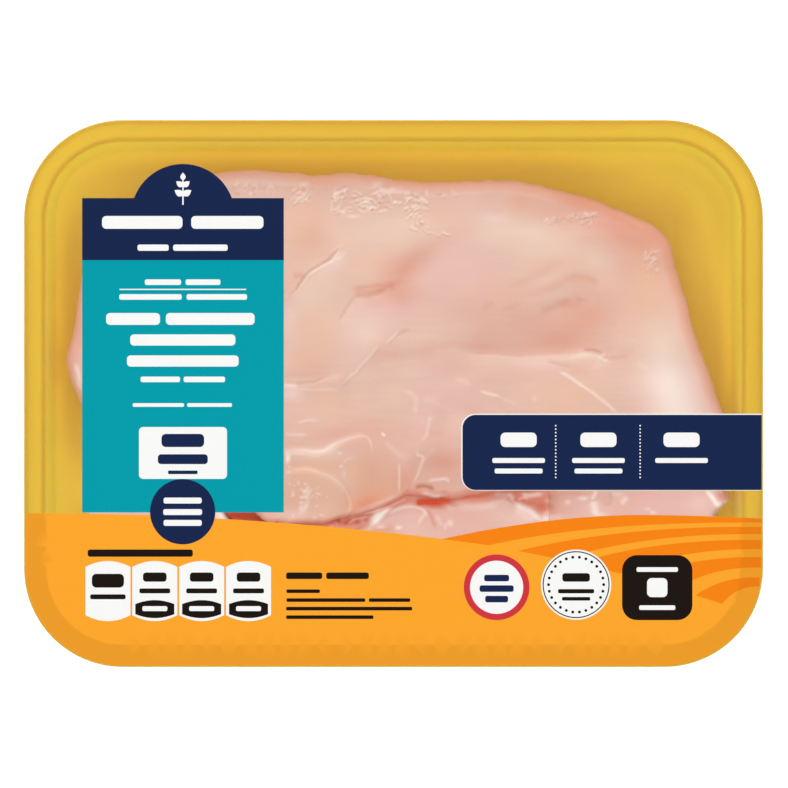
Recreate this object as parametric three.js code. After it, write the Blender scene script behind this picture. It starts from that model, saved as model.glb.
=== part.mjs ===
// Sealed tray pack of raw chicken breast: a thermoformed tray with a flat rim, four pieces of
// breast lying in it, a clear film sealed to the rim, and the film's printed fields.
// Millimetres, +Z up. The origin is on the ground under the middle of the tray, X runs along
// the long side and +Y points to the side that the top breast lies against.

import * as THREE from "three";

// Tray
const packLength = 225;
const packWidth = 166.5;
const packCornerRadius = 30;
const rimHeight = 32;
const rimWidth = 6.7;
const rimThickness = 1.0;
const lipDrop = 2.4;
const lipThickness = 0.9;
const wallThickness = 1.0;
const wallDraft = 0.1;
const floorThickness = 1.2;
const floorFillet = 8;
const footWidth = 9;
const footHeight = 0.6;

// Film and print
const filmThickness = 0.4;
const filmEdgeGap = 0.4;
const printThickness = 0.2;

// Meat
const restHeight = floorThickness + footHeight + 0.3;
const lowerSliceTop = 13.2;
const topSliceLap = 14.0;
const topSliceTop = 23.2;
const edgeRoll = 6;

const cornerSteps = 9;
const filmTop = rimHeight + filmThickness;
const printTop = filmTop + printThickness;

function smoothStep(low, high, value) {
  const t = Math.min(1, Math.max(0, (value - low) / (high - low)));
  return t * t * (3 - 2 * t);
}

// A ring of points round a rounded rectangle, anticlockwise, moved in by inset and set at z.
function trayRing(inset, z) {
  const radius = packCornerRadius - inset;
  const points = [];
  for (let corner = 0; corner < 4; corner += 1) {
    const signX = corner === 0 || corner === 3 ? 1 : -1;
    const signY = corner < 2 ? 1 : -1;
    const centreX = signX * (packLength / 2 - packCornerRadius);
    const centreY = signY * (packWidth / 2 - packCornerRadius);
    for (let step = 0; step <= cornerSteps; step += 1) {
      const angle = (corner + step / cornerSteps) * Math.PI / 2;
      points.push(new THREE.Vector3(
        centreX + radius * Math.cos(angle),
        centreY + radius * Math.sin(angle),
        z,
      ));
    }
  }
  return points;
}

// A closed body through rings of equally many points, capped by a fan at both ends. The rings
// start under the body's middle, go out and up, and end on top of its middle.
function ringBody(rings, bottomCentre, topCentre) {
  const count = rings[0].length;
  const vertices = [bottomCentre, ...rings.flat(), topCentre];
  const last = vertices.length - 1;
  const at = (ring, point) => 1 + ring * count + (point % count);
  const triangles = [];
  for (let point = 0; point < count; point += 1) {
    triangles.push(0, at(0, point + 1), at(0, point));
    for (let ring = 0; ring + 1 < rings.length; ring += 1) {
      const a = at(ring, point);
      const b = at(ring, point + 1);
      const c = at(ring + 1, point + 1);
      const d = at(ring + 1, point);
      triangles.push(a, b, c, a, c, d);
    }
    triangles.push(last, at(rings.length - 1, point), at(rings.length - 1, point + 1));
  }
  const geometry = new THREE.BufferGeometry();
  const positions = vertices.flatMap((vertex) => [vertex.x, vertex.y, vertex.z]);
  geometry.setAttribute("position", new THREE.Float32BufferAttribute(positions, 3));
  geometry.setIndex(triangles);
  geometry.computeVertexNormals();
  return geometry;
}

// Tray: the section runs from under the floor, round the foot, up the outside, over the rim
// with its turned-down lip, and down the inside to the raised floor.
function trayGeometry() {
  const steps = 5;
  const rimUnder = rimHeight - rimThickness;
  const innerInset = (z) => rimWidth + (rimHeight - z) * wallDraft;
  const outerInset = (z) => innerInset(z) - wallThickness;
  const insideTurn = floorThickness + floorFillet;
  const outsideFillet = floorFillet + floorThickness;
  const outsideTurn = outsideFillet;
  const filletCentre = innerInset(insideTurn) + floorFillet;
  const section = [];
  section.push([filletCentre + footWidth + 2, footHeight]);
  section.push([filletCentre + footWidth, 0]);
  section.push([filletCentre, 0]);
  for (let step = 1; step <= steps; step += 1) {
    const angle = (step / steps) * Math.PI / 2;
    const reach = filletCentre - outerInset(outsideTurn);
    section.push([
      filletCentre - reach * Math.sin(angle),
      outsideFillet * (1 - Math.cos(angle)),
    ]);
  }
  section.push([outerInset(rimUnder - 1), rimUnder - 1]);
  section.push([outerInset(rimUnder) - 0.8, rimUnder]);
  section.push([lipThickness + 0.4, rimUnder]);
  section.push([lipThickness, rimUnder - 0.4]);
  section.push([lipThickness, rimHeight - lipDrop]);
  section.push([0, rimHeight - lipDrop]);
  section.push([0, rimHeight - 0.6]);
  section.push([0.35, rimHeight - 0.15]);
  section.push([0.9, rimHeight]);
  section.push([rimWidth - 0.9, rimHeight]);
  section.push([rimWidth - 0.2, rimHeight - 0.3]);
  section.push([innerInset(rimHeight - 1.2) + 0.05, rimHeight - 1.2]);
  for (let step = 0; step <= steps; step += 1) {
    const angle = (step / steps) * Math.PI / 2;
    section.push([
      filletCentre - floorFillet * Math.cos(angle),
      insideTurn - floorFillet * Math.sin(angle),
    ]);
  }
  section.push([filletCentre + footWidth, floorThickness]);
  section.push([filletCentre + footWidth + 2, floorThickness + footHeight]);
  const rings = section.map(([inset, z]) => trayRing(inset, z));
  return ringBody(
    rings,
    new THREE.Vector3(0, 0, footHeight),
    new THREE.Vector3(0, 0, floorThickness + footHeight),
  );
}

// Where a place (x, y) lies against a path: its distance, the side that it is on (positive to
// the left of the path's direction), and how far along the path it is, from 0 to 1.
function besidePath(path, x, y) {
  let best = { distance: Infinity, side: 1, along: 0 };
  for (let index = 0; index + 1 < path.length; index += 1) {
    const [ax, ay] = path[index];
    const [bx, by] = path[index + 1];
    const dx = bx - ax;
    const dy = by - ay;
    const raw = ((x - ax) * dx + (y - ay) * dy) / (dx * dx + dy * dy);
    const t = Math.min(1, Math.max(0, raw));
    const distance = Math.hypot(x - ax - dx * t, y - ay - dy * t);
    if (distance < best.distance) {
      const cross = dx * (y - ay) - dy * (x - ax);
      best = {
        distance,
        side: cross >= 0 ? 1 : -1,
        along: (index + t) / (path.length - 1),
      };
    }
  }
  return best;
}

// A rounded swelling, or a hollow where its height is negative.
function mound({ x, y, reachX, reachY, turn = 0, height }) {
  const cos = Math.cos(THREE.MathUtils.degToRad(turn));
  const sin = Math.sin(THREE.MathUtils.degToRad(turn));
  return (px, py) => {
    const u = ((px - x) * cos + (py - y) * sin) / reachX;
    const v = ((py - y) * cos - (px - x) * sin) / reachY;
    return height * Math.exp(-(u * u + v * v));
  };
}

// A soft groove along a path, or a ridge where its depth is negative.
function groove({ path, width, depth }) {
  return (px, py) => {
    const { distance, along } = besidePath(path, px, py);
    const ends = smoothStep(-0.01, 0.2, along) * smoothStep(1.01, 0.8, along);
    return -depth * ends * Math.exp(-((distance / width) ** 2));
  };
}

// A flap's edge: the meat steps up to the left of the path and sinks back over its reach.
function flap({ path, height, edge, reach }) {
  return (px, py) => {
    const { distance, side, along } = besidePath(path, px, py);
    const ends = smoothStep(-0.01, 0.15, along) * smoothStep(1.01, 0.85, along);
    const rise = smoothStep(-edge, edge, side * distance);
    return height * ends * rise * Math.exp(-distance / reach);
  };
}

// A terrace: all the meat to the left of the path stands higher.
function terrace({ path, height, edge }) {
  return (px, py) => {
    const { distance, side } = besidePath(path, px, py);
    return height * smoothStep(-edge, edge, side * distance);
  };
}

// One piece of meat. Its outline is a smooth closed curve, its edge is rolled over, and its
// top and underside are height functions of x and y.
function sliceGeometry({ outline, centre, around, topRings, roll, top, bottom }) {
  const corners = outline.map(([x, y]) => new THREE.Vector3(x, y, 0));
  const curve = new THREE.CatmullRomCurve3(corners, true, "centripetal");
  const edge = curve.getSpacedPoints(around).slice(0, around);
  const place = (point, index, inset, up) => {
    const before = edge[(index + around - 1) % around];
    const after = edge[(index + 1) % around];
    const tangent = after.clone().sub(before).normalize();
    const inward = new THREE.Vector3(centre[0], centre[1], 0).sub(point);
    const radius = inward.length();
    inward.normalize();
    const straight = Math.abs(tangent.x * inward.y - tangent.y * inward.x);
    const reach = Math.min(inset / Math.max(straight, 0.6), radius * 0.9);
    const x = point.x + inward.x * reach;
    const y = point.y + inward.y * reach;
    const high = top(x, y);
    const low = bottom(x, y);
    const middle = (high + low) / 2;
    return new THREE.Vector3(x, y, middle + (high - middle) * up);
  };
  const rollSteps = [-90, -50, -15, 20, 50, 72, 90];
  const rims = rollSteps.map((degrees) => {
    const angle = THREE.MathUtils.degToRad(degrees);
    return edge.map((point, index) => place(
      point,
      index,
      roll * (1 - Math.cos(angle)),
      Math.sin(angle),
    ));
  });
  const inner = (ring, share, height) => ring.map((point) => {
    const x = centre[0] + (point.x - centre[0]) * share;
    const y = centre[1] + (point.y - centre[1]) * share;
    return new THREE.Vector3(x, y, height(x, y));
  });
  const rings = [inner(rims[0], 0.4, bottom), inner(rims[0], 0.72, bottom), ...rims];
  const lastRim = rims[rims.length - 1];
  for (let ring = 1; ring < topRings; ring += 1) {
    rings.push(inner(lastRim, 1 - ring / topRings, top));
  }
  return ringBody(
    rings,
    new THREE.Vector3(centre[0], centre[1], bottom(...centre)),
    new THREE.Vector3(centre[0], centre[1], top(...centre)),
  );
}

// Slow unevenness of the meat, a few tenths to a millimetre high.
function unevenness(x, y, seed) {
  const wave = Math.sin(x / 9.3 + seed) * Math.cos(y / 7.1 - seed);
  const ripple = Math.sin((x + 1.7 * y) / 5.9 + 2 * seed) * Math.cos((1.3 * x - y) / 8.3);
  return 0.45 * wave + 0.35 * ripple;
}

// Top breast: one broad fillet that fills most of the tray, lapping over the lower pieces.
const topSliceOutline = [
  [97, -16], [100.6, -9.6], [98.8, -3.2], [93.3, 11.4], [88.8, 26], [84.5, 40.6],
  [79, 50], [70.2, 55], [50.7, 61], [36.1, 64.2], [11.7, 64.1], [-7.8, 66.1],
  [-27.2, 66.5], [-48, 67.4], [-66, 64], [-81, 56], [-90.5, 46], [-95.1, 34],
  [-97.3, 19.3], [-99.5, 10], [-97.3, 2.3], [-93.5, -6], [-83, -20], [-65, -30.5],
  [-49, -35], [-33, -40], [-22.1, -39.1], [-12.3, -37], [-5, -34.7], [2, -31.8],
  [10.2, -28], [15, -31.3], [23.3, -31.6], [50, -27.5], [81, -22.5],
];
const topSliceRelief = [
  mound({ x: 80, y: 12, reachX: 22, reachY: 34, height: 2.6 }),
  mound({ x: -3, y: 17, reachX: 22, reachY: 12, turn: 35, height: 1.8 }),
  mound({ x: -60, y: 15, reachX: 30, reachY: 30, height: 1.2 }),
  mound({ x: 45, y: 18, reachX: 18, reachY: 8, turn: -5, height: -1.6 }),
  mound({ x: -26, y: -31, reachX: 12, reachY: 9, turn: -20, height: 0.8 }),
  flap({ path: [[-33, 31], [-25, 40], [-15, 45]], height: 1.3, edge: 3.5, reach: 16 }),
  groove({ path: [[-18, 21], [-11, 31], [-3, 31.5], [6, 37], [16, 45]], width: 4.5, depth: 1.8 }),
  flap({ path: [[-16, 2], [2, 21]], height: 1.3, edge: 3.5, reach: 16 }),
  flap({ path: [[-15, 4], [-33, 5]], height: 1.1, edge: 3.5, reach: 14 }),
  groove({ path: [[15, 14], [35, 12], [60, 13], [68, 9]], width: 4.5, depth: 1.7 }),
  flap({
    path: [[-6, -18], [-7, -12.5], [-15, -13.5], [-22, -16], [-34, -14]],
    height: 1.4,
    edge: 4.5,
    reach: 12,
  }),
  flap({
    path: [[-16, -40], [-13, -32], [-16, -27.5], [-22, -24], [-30, -22]],
    height: 1.6,
    edge: 5,
    reach: 14,
  }),
  groove({ path: [[10, 0], [12, -5], [10, -13], [8, -26]], width: 4, depth: -0.9 }),
  groove({ path: [[44, 25], [58, 28.5], [64, 29]], width: 4.5, depth: 1.0 }),
];

function topSliceHeight(x, y) {
  const droop = 3.2 * smoothStep(38, 68, y) + 2.4 * smoothStep(80, 103, Math.abs(x));
  const relief = topSliceRelief.reduce((sum, shape) => sum + shape(x, y), 0);
  return topSliceTop - droop + relief + unevenness(x, y, 0.4);
}

// The underside lies on the floor at the back and rises over the lower pieces at the front.
function topSliceUnderside(x, y) {
  return restHeight + (topSliceLap - restHeight) * smoothStep(-2, -12.5, y);
}

// Lower pieces: they lie on the floor along the front, under the top breast's front edge.
const middleSliceOutline = [
  [47, -43], [46.8, -36], [46.4, -29], [42, -25.5], [30, -24], [10, -23.5],
  [-10, -24], [-30, -25.5], [-44, -27.5], [-50.4, -32], [-50.6, -36], [-48.6, -40.5],
  [-45, -46], [-38, -53], [-25, -61], [-8, -65.5], [15, -66.5], [34, -63.5], [44, -55],
];
const rightSliceOutline = [
  [103, -33], [101, -27], [95, -20], [80, -16], [64, -16.5], [53, -21], [48, -27],
  [47.6, -33], [48.4, -40], [50, -50], [54, -59], [66, -65], [82, -66], [94, -61.5],
  [100, -52], [101.5, -42],
];
const leftSliceOutline = [
  [-49.6, -40.5], [-51.6, -36.5], [-54, -32], [-60, -28.5], [-72, -26], [-85, -28.5],
  [-91.5, -33], [-94.6, -38], [-97, -46], [-95, -54], [-87, -61.5], [-72, -65],
  [-60, -63], [-51, -56], [-48, -48],
];

function lowerSliceHeight(seed, reliefShapes, lift = () => 0) {
  return (x, y) => {
    const relief = reliefShapes.reduce((sum, shape) => sum + shape(x, y), 0);
    return lowerSliceTop + lift(x) + relief + 0.5 * unevenness(x, y, seed);
  };
}

const middleSliceShelf = 4.5;
const middleSliceRelief = [
  () => -middleSliceShelf,
  terrace({
    path: [
      [50, -46], [46.5, -41], [44.6, -37.9], [40, -34.6], [36.4, -33.5], [30, -32.7],
      [22, -33.4], [14, -34.8], [8, -34.2], [0, -33.6], [-9, -35.5], [-20, -39.5],
      [-29, -46], [-36, -56],
    ],
    height: middleSliceShelf,
    edge: 3,
  }),
  mound({ x: 22, y: -43, reachX: 22, reachY: 7, height: 1.6 }),
  groove({ path: [[0, -33], [-7, -40], [-12, -46]], width: 2.5, depth: -0.9 }),
  groove({ path: [[9, -34], [13, -39], [10, -44]], width: 2.5, depth: 0.9 }),
];
const rightSliceRelief = [
  mound({ x: 86, y: -40, reachX: 24, reachY: 12, height: 2.4 }),
  groove({ path: [[60, -30], [65, -35], [70, -42]], width: 3, depth: 1.1 }),
];

// The right piece's outer end rides up on the tray's wall.
const rightEndLift = 4.5;
const rightLift = (x) => rightEndLift * smoothStep(86, 104, x);

const floorLine = () => restHeight;
const lowerSlice = {
  around: 44,
  topRings: 6,
  roll: 5,
  bottom: floorLine,
};

// Outlines of the printed fields.
function roundedBox(x1, y1, x2, y2, radius) {
  const shape = new THREE.Shape();
  shape.moveTo(x1 + radius, y1);
  shape.lineTo(x2 - radius, y1);
  shape.absarc(x2 - radius, y1 + radius, radius, -Math.PI / 2, 0);
  shape.lineTo(x2, y2 - radius);
  shape.absarc(x2 - radius, y2 - radius, radius, 0, Math.PI / 2);
  shape.lineTo(x1 + radius, y2);
  shape.absarc(x1 + radius, y2 - radius, radius, Math.PI / 2, Math.PI);
  shape.lineTo(x1, y1 + radius);
  shape.absarc(x1 + radius, y1 + radius, radius, Math.PI, Math.PI * 1.5);
  return shape;
}

function disc(x, y, radius) {
  const shape = new THREE.Shape();
  shape.absarc(x, y, radius, 0, Math.PI * 2);
  return shape;
}

const filmX = packLength / 2 - filmEdgeGap;
const filmY = packWidth / 2 - filmEdgeGap;
const filmRadius = packCornerRadius - filmEdgeGap;

// Orange band over the front of the film: a falling hill on the left and a low rise on the right.
const bandLeftHeight = -36.5;
const bandValley = [14.8, -44.3];
const bandRightHill = [73, -37];
const bandRightHeight = -38.1;

function bandShape() {
  const shape = new THREE.Shape();
  shape.moveTo(-filmX + filmRadius, -filmY);
  shape.lineTo(filmX - filmRadius, -filmY);
  shape.absarc(filmX - filmRadius, -filmY + filmRadius, filmRadius, -Math.PI / 2, 0);
  shape.lineTo(filmX, bandRightHeight);
  shape.quadraticCurveTo(92, bandRightHill[1], ...bandRightHill);
  shape.quadraticCurveTo(46, bandRightHill[1] - 0.4, ...bandValley);
  shape.quadraticCurveTo(-48, -36.4, -filmX, bandLeftHeight);
  shape.lineTo(-filmX, -filmY + filmRadius);
  shape.absarc(-filmX + filmRadius, -filmY + filmRadius, filmRadius, Math.PI, Math.PI * 1.5);
  return shape;
}

// Main panel: a dark header with a round dome on a blue-green field.
const panelLeft = -94.8;
const panelRight = -33.5;
const headerBottom = 40.6;
const headerTop = 59.5;
const panelBottom = -36.2;
const domeX = -64.1;
const domeHalfChord = 14.9;
const domeRise = 10.4;

function headerShape() {
  const radius = (domeHalfChord ** 2 + domeRise ** 2) / (2 * domeRise);
  const half = Math.asin(domeHalfChord / radius);
  const shape = new THREE.Shape();
  shape.moveTo(panelLeft, headerBottom);
  shape.lineTo(panelRight, headerBottom);
  shape.lineTo(panelRight, headerTop);
  shape.lineTo(domeX + domeHalfChord, headerTop);
  const centreY = headerTop + domeRise - radius;
  shape.absarc(domeX, centreY, radius, Math.PI / 2 - half, Math.PI / 2 + half);
  shape.lineTo(panelLeft, headerTop);
  return shape;
}

function panelShape() {
  const shape = new THREE.Shape();
  shape.moveTo(panelLeft, panelBottom);
  shape.lineTo(panelRight, panelBottom);
  shape.lineTo(panelRight, headerBottom);
  shape.lineTo(panelLeft, headerBottom);
  return shape;
}

// Side banner: it runs off the film's right edge and is rounded on the left.
const bannerLeft = 21;
const bannerTop = -6.5;
const bannerBottom = -29.4;
const bannerRadius = 4;

function bannerShape() {
  const shape = new THREE.Shape();
  shape.moveTo(bannerLeft + bannerRadius, bannerBottom);
  shape.lineTo(filmX, bannerBottom);
  shape.lineTo(filmX, bannerTop);
  shape.lineTo(bannerLeft + bannerRadius, bannerTop);
  const topCentre = bannerTop - bannerRadius;
  shape.absarc(bannerLeft + bannerRadius, topCentre, bannerRadius, Math.PI / 2, Math.PI);
  shape.lineTo(bannerLeft, bannerBottom + bannerRadius);
  const bottomCentre = bannerBottom + bannerRadius;
  shape.absarc(bannerLeft + bannerRadius, bottomCentre, bannerRadius, Math.PI, Math.PI * 1.5);
  return shape;
}

// Small fields printed over the large ones.
const tagLeft = -93.8;
const tagPitch = 14.27;
const tagWidth = 13.7;
const tagTop = -51;
const tagBottom = -69.3;
const tagCrown = 1.8;

function tagShape(index) {
  const x1 = tagLeft + index * tagPitch;
  const x2 = x1 + tagWidth;
  const middle = (x1 + x2) / 2;
  const shape = new THREE.Shape();
  shape.moveTo(x1, tagBottom + tagCrown);
  shape.quadraticCurveTo(middle, tagBottom - tagCrown, x2, tagBottom + tagCrown);
  shape.lineTo(x2, tagTop - tagCrown);
  shape.quadraticCurveTo(middle, tagTop + tagCrown, x1, tagTop - tagCrown);
  return shape;
}

const smallFields = {
  print_box: { shape: roundedBox(-77.5, -26, -50.7, -10.2, 1.3), colour: 0xf6f6f4 },
  print_badge: { shape: disc(-64.2, -36, 9.8), colour: 0x1a284a },
  print_disc_red: { shape: disc(31.4, -59, 10), colour: 0xc8343c },
  print_disc_white: { shape: disc(55.6, -58.2, 10.7), colour: 0xf6f6f4 },
  print_plaque: { shape: roundedBox(69.6, -69, 91, -49.2, 4.5), colour: 0x1c1512 },
};
for (let index = 0; index < 4; index += 1) {
  smallFields[`print_tag_${index + 1}`] = { shape: tagShape(index), colour: 0xf6f6f4 };
}

// The scene graph.
const pack = new THREE.Group();

function add(name, geometry, colour, roughness, opacity = 1) {
  const material = new THREE.MeshStandardMaterial({
    color: colour,
    roughness,
    metalness: 0,
    transparent: opacity < 1,
    opacity,
  });
  const mesh = new THREE.Mesh(geometry, material);
  mesh.name = name;
  pack.add(mesh);
  return mesh;
}

function addPlate(name, shape, plate, colour, roughness, opacity = 1) {
  const geometry = new THREE.ExtrudeGeometry(shape, {
    depth: plate.height,
    bevelEnabled: false,
    curveSegments: plate.steps,
  });
  const mesh = add(name, geometry, colour, roughness, opacity);
  mesh.position.z = plate.z;
}

add("tray", trayGeometry(), 0xe2b744, 0.45);
add("breast_top", sliceGeometry({
  outline: topSliceOutline,
  centre: [22, 1],
  around: 104,
  topRings: 19,
  roll: edgeRoll,
  top: topSliceHeight,
  bottom: topSliceUnderside,
}), 0xe9bba8, 0.35);
add("breast_middle", sliceGeometry({
  ...lowerSlice,
  outline: middleSliceOutline,
  around: 56,
  topRings: 8,
  centre: [6, -46],
  top: lowerSliceHeight(1.1, middleSliceRelief),
}), 0xe8bfb6, 0.35);
add("breast_right", sliceGeometry({
  ...lowerSlice,
  outline: rightSliceOutline,
  centre: [75, -42],
  top: lowerSliceHeight(2.3, rightSliceRelief, (x) => 0.4 * rightLift(x)),
  bottom: (x) => restHeight + rightLift(x),
}), 0xe8bfb6, 0.35);
add("breast_left", sliceGeometry({
  ...lowerSlice,
  outline: leftSliceOutline,
  centre: [-72, -46],
  top: lowerSliceHeight(3.2, []),
}), 0xe8bfb6, 0.35);

const filmPlate = { height: filmThickness, z: rimHeight, steps: cornerSteps };
const fieldPlate = { height: printThickness, z: filmTop, steps: cornerSteps };
const smallPlate = { height: printThickness, z: printTop, steps: 6 };

const filmOutline = roundedBox(-filmX, -filmY, filmX, filmY, filmRadius);
addPlate("film", filmOutline, filmPlate, 0xf4f4f4, 0.1, 0.25);
addPlate("print_band", bandShape(), fieldPlate, 0xf9a62c, 0.3);
addPlate("print_header", headerShape(), fieldPlate, 0x1a284a, 0.3);
addPlate("print_panel", panelShape(), fieldPlate, 0x019caa, 0.3);
addPlate("print_banner", bannerShape(), fieldPlate, 0x1a284a, 0.3);
for (const [name, field] of Object.entries(smallFields)) {
  addPlate(name, field.shape, smallPlate, field.colour, 0.3);
}

export default pack;
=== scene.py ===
# Looks of a sealed tray pack of raw chicken breast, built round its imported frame.
# Shapes are worked out in millimetres, in the frame's own axes, and made in metres.

import math

import bpy
import numpy as np
from bpy.props import FloatProperty, FloatVectorProperty, PointerProperty
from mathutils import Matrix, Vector, geometry


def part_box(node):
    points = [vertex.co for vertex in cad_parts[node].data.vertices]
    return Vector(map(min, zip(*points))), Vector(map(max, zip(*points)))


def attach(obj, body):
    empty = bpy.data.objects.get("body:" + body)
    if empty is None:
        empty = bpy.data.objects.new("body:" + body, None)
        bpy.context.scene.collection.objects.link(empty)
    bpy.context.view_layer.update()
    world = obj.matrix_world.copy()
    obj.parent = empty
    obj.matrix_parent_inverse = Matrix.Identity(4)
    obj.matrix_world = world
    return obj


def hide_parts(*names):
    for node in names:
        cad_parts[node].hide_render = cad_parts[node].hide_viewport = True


bl_info = {
    "name": "Tray pack of raw chicken breast",
    "version": (1, 0, 0),
    "blender": (4, 5, 0),
    "location": "3D View > Sidebar > Tray pack",
    "description": "Builds the looks of a sealed tray pack of raw chicken breast",
    "category": "Object",
}

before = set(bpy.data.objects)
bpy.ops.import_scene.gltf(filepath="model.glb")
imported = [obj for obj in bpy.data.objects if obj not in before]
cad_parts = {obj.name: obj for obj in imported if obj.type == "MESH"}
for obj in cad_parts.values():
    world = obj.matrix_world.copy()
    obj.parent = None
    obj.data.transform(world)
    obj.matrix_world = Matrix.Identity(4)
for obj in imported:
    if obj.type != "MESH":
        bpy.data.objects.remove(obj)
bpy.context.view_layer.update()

MM = 0.001


def box_mm(name):
    """Lowest and highest corner of a CAD node, in millimetres."""
    low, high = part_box(name)
    return np.array(low) / MM, np.array(high) / MM


# Tray, film and print heights, read from the frame
tray_low, tray_high = box_mm("tray")
film_low, film_high = box_mm("film")
pack_length = tray_high[0] - tray_low[0]
pack_width = tray_high[1] - tray_low[1]
rim_height = film_low[2]
film_x = film_high[0]
film_y = film_high[1]

# Tray section
corner_radius = 30.0
rim_width = 6.7
rim_thickness = 1.0
lip_drop = 2.4
lip_thickness = 0.9
wall_thickness = 1.0
wall_draft = 0.1
floor_thickness = 1.2
floor_fillet = 8.0
foot_width = 9.0
foot_height = 0.6
longest_tray_side = 6.0
tray_floor_step = 3.0

# Shares of the deeper yellow, a painted shade, on the inside of the tray
painted_shade_floor = 0.34
painted_shade_round_meat = 0.42
painted_shade_beside_meat = 0.62
painted_shade_at_right = 0.16

# Meat
rest_height = floor_thickness + foot_height + 0.3
lower_slice_top = 13.2
top_slice_lap = 14.0
top_slice_top = 23.2
top_slice_roll = 4.0
lower_slice_roll = 3.6
shelf_drop = 1.6
back_droop = 3.2
side_droop = 2.4
front_droop = 5.4
right_end_lift = 4.5
edge_wobble = 0.25
front_wobble = 0.3

# Film, and the printed layers on it
film_thickness = 0.12
film_edge_gap = 0.4
film_ripple = 0.1
film_ripple_length = 31.0
layer_gap = 0.003
layer_step = 0.05
panel_left = -94.8
panel_right = -33.4
panel_bottom = -36.2
panel_top = 40.6

# Camera: the photograph's width and the pack's width in it, in pixels
frame_pixels = 788
pack_pixels = 739

# Studio floor, from its middle to its edges
floor_reach = 9000.0

# Tints of the meat, the later ones over the earlier ones. Each has its colour in the settings.
# The orange red and the red brown are painted shade, the fat's tint also paints highlights,
# and the salmon pink also brightens the rolled edges against their shade.
TINTS = ("rose", "peach", "blush", "cream", "salmon", "deep", "crease", "fat")

# Outlines of the four pieces of meat, seen from above
top_outline = [
    (97, -16), (101.2, -9.6), (99.9, -4.1), (97.5, 3.2), (94.2, 12), (90.1, 25.2), (87.0, 36),
    (85.4, 41.5), (84.0, 47), (80.0, 51), (71.7, 55.1), (59.8, 59.4), (50, 62.1), (42.8, 64),
    (36.5, 65.1), (27, 65), (14, 64.6), (4, 65.1), (-4.1, 66.3), (-12, 67.2), (-17, 67.3),
    (-23, 66.6), (-30, 67.3), (-42, 68.2), (-52, 67.7), (-66, 64.6), (-81, 57), (-91, 46),
    (-95.4, 34.5), (-97.3, 21.8), (-98.3, 16.5), (-99.8, 10.6), (-99.2, 6), (-96.9, 0),
    (-93.5, -7), (-83, -20), (-65, -29), (-48, -32), (-43.2, -34.4), (-41.8, -37), (-39.4, -38.7),
    (-35.5, -39.3), (-28, -39.9), (-20, -39.5),
    (-14.5, -37.7), (-8, -36.2), (-1, -33.7), (5.5, -31.2), (9.5, -32.1), (14, -32),
    (18, -32.2), (24, -31), (34, -30.2), (50, -27.5), (81, -22.5),
]
middle_outline = [
    (51, -43), (51.2, -36), (50, -29), (42, -25.5), (30, -24), (10, -23.5),
    (-10, -24), (-30, -25.5), (-44, -27.5), (-52.2, -31.6), (-53.2, -35.8), (-51.0, -38.2),
    (-48.4, -41), (-44.4, -46), (-38, -53), (-25, -61), (-8, -65.5), (15, -66.5), (34, -63.5), (44, -55),
]
right_outline = [
    (102.4, -32.4), (100.5, -27), (95, -20), (80, -16), (64, -16.5), (53, -21), (48, -27),
    (47.4, -33), (48, -40), (50, -50), (54, -59), (66, -65), (82, -66), (94, -61.5),
    (98.6, -50), (98.8, -37),
]
left_outline = [
    (-46.9, -41), (-49.4, -38.2), (-51.7, -35.8), (-53.9, -31.6), (-60, -28.5), (-72, -26), (-85, -28.5),
    (-91.5, -33), (-94.6, -38), (-97, -46), (-95, -54), (-87, -61.5), (-72, -65),
    (-60, -63), (-51, -56), (-48, -48),
]


def linear(code):
    """Linear colour of an sRGB hex code."""
    parts = [int(code[i:i + 2], 16) / 255 for i in (0, 2, 4)]
    return tuple(p / 12.92 if p <= 0.04045 else ((p + 0.055) / 1.055) ** 2.4 for p in parts)


def colour_property(name, description, code):
    return FloatVectorProperty(
        name=name,
        description=description,
        subtype="COLOR",
        size=3,
        min=0.0,
        max=1.0,
        default=linear(code),
    )


class TraySettings(bpy.types.PropertyGroup):
    """Sizes and colours of the plastic tray."""

    colour: colour_property("Tray colour", "Yellow of the floor and its rounded edge", "ebbb47")
    # Painted light: the steep wall gets a clearer yellow, as less of the light from above reaches it
    painted_wall_light_colour: colour_property("Wall colour", "Clearer yellow of the wall, drawn thin", "ffd54b")
    # Painted shade: the rim, fully lit from above, gets a duller yellow to even it with the inside
    painted_rim_shade: colour_property("Rim colour", "Duller yellow of the sealed rim", "b99330")
    # Painted shade: a deeper yellow on the floor, strongest where the meat's shadow falls beside it
    painted_shade_colour: colour_property("Wet colour", "Deeper yellow of the wet floor", "b08c3b")
    rim_rounding: FloatProperty(
        name="Rim rounding",
        description="Radius of the rim's rounded edges",
        default=0.5 * MM,
        min=0.2 * MM,
        max=1.0 * MM,
        unit="LENGTH",
    )


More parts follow.
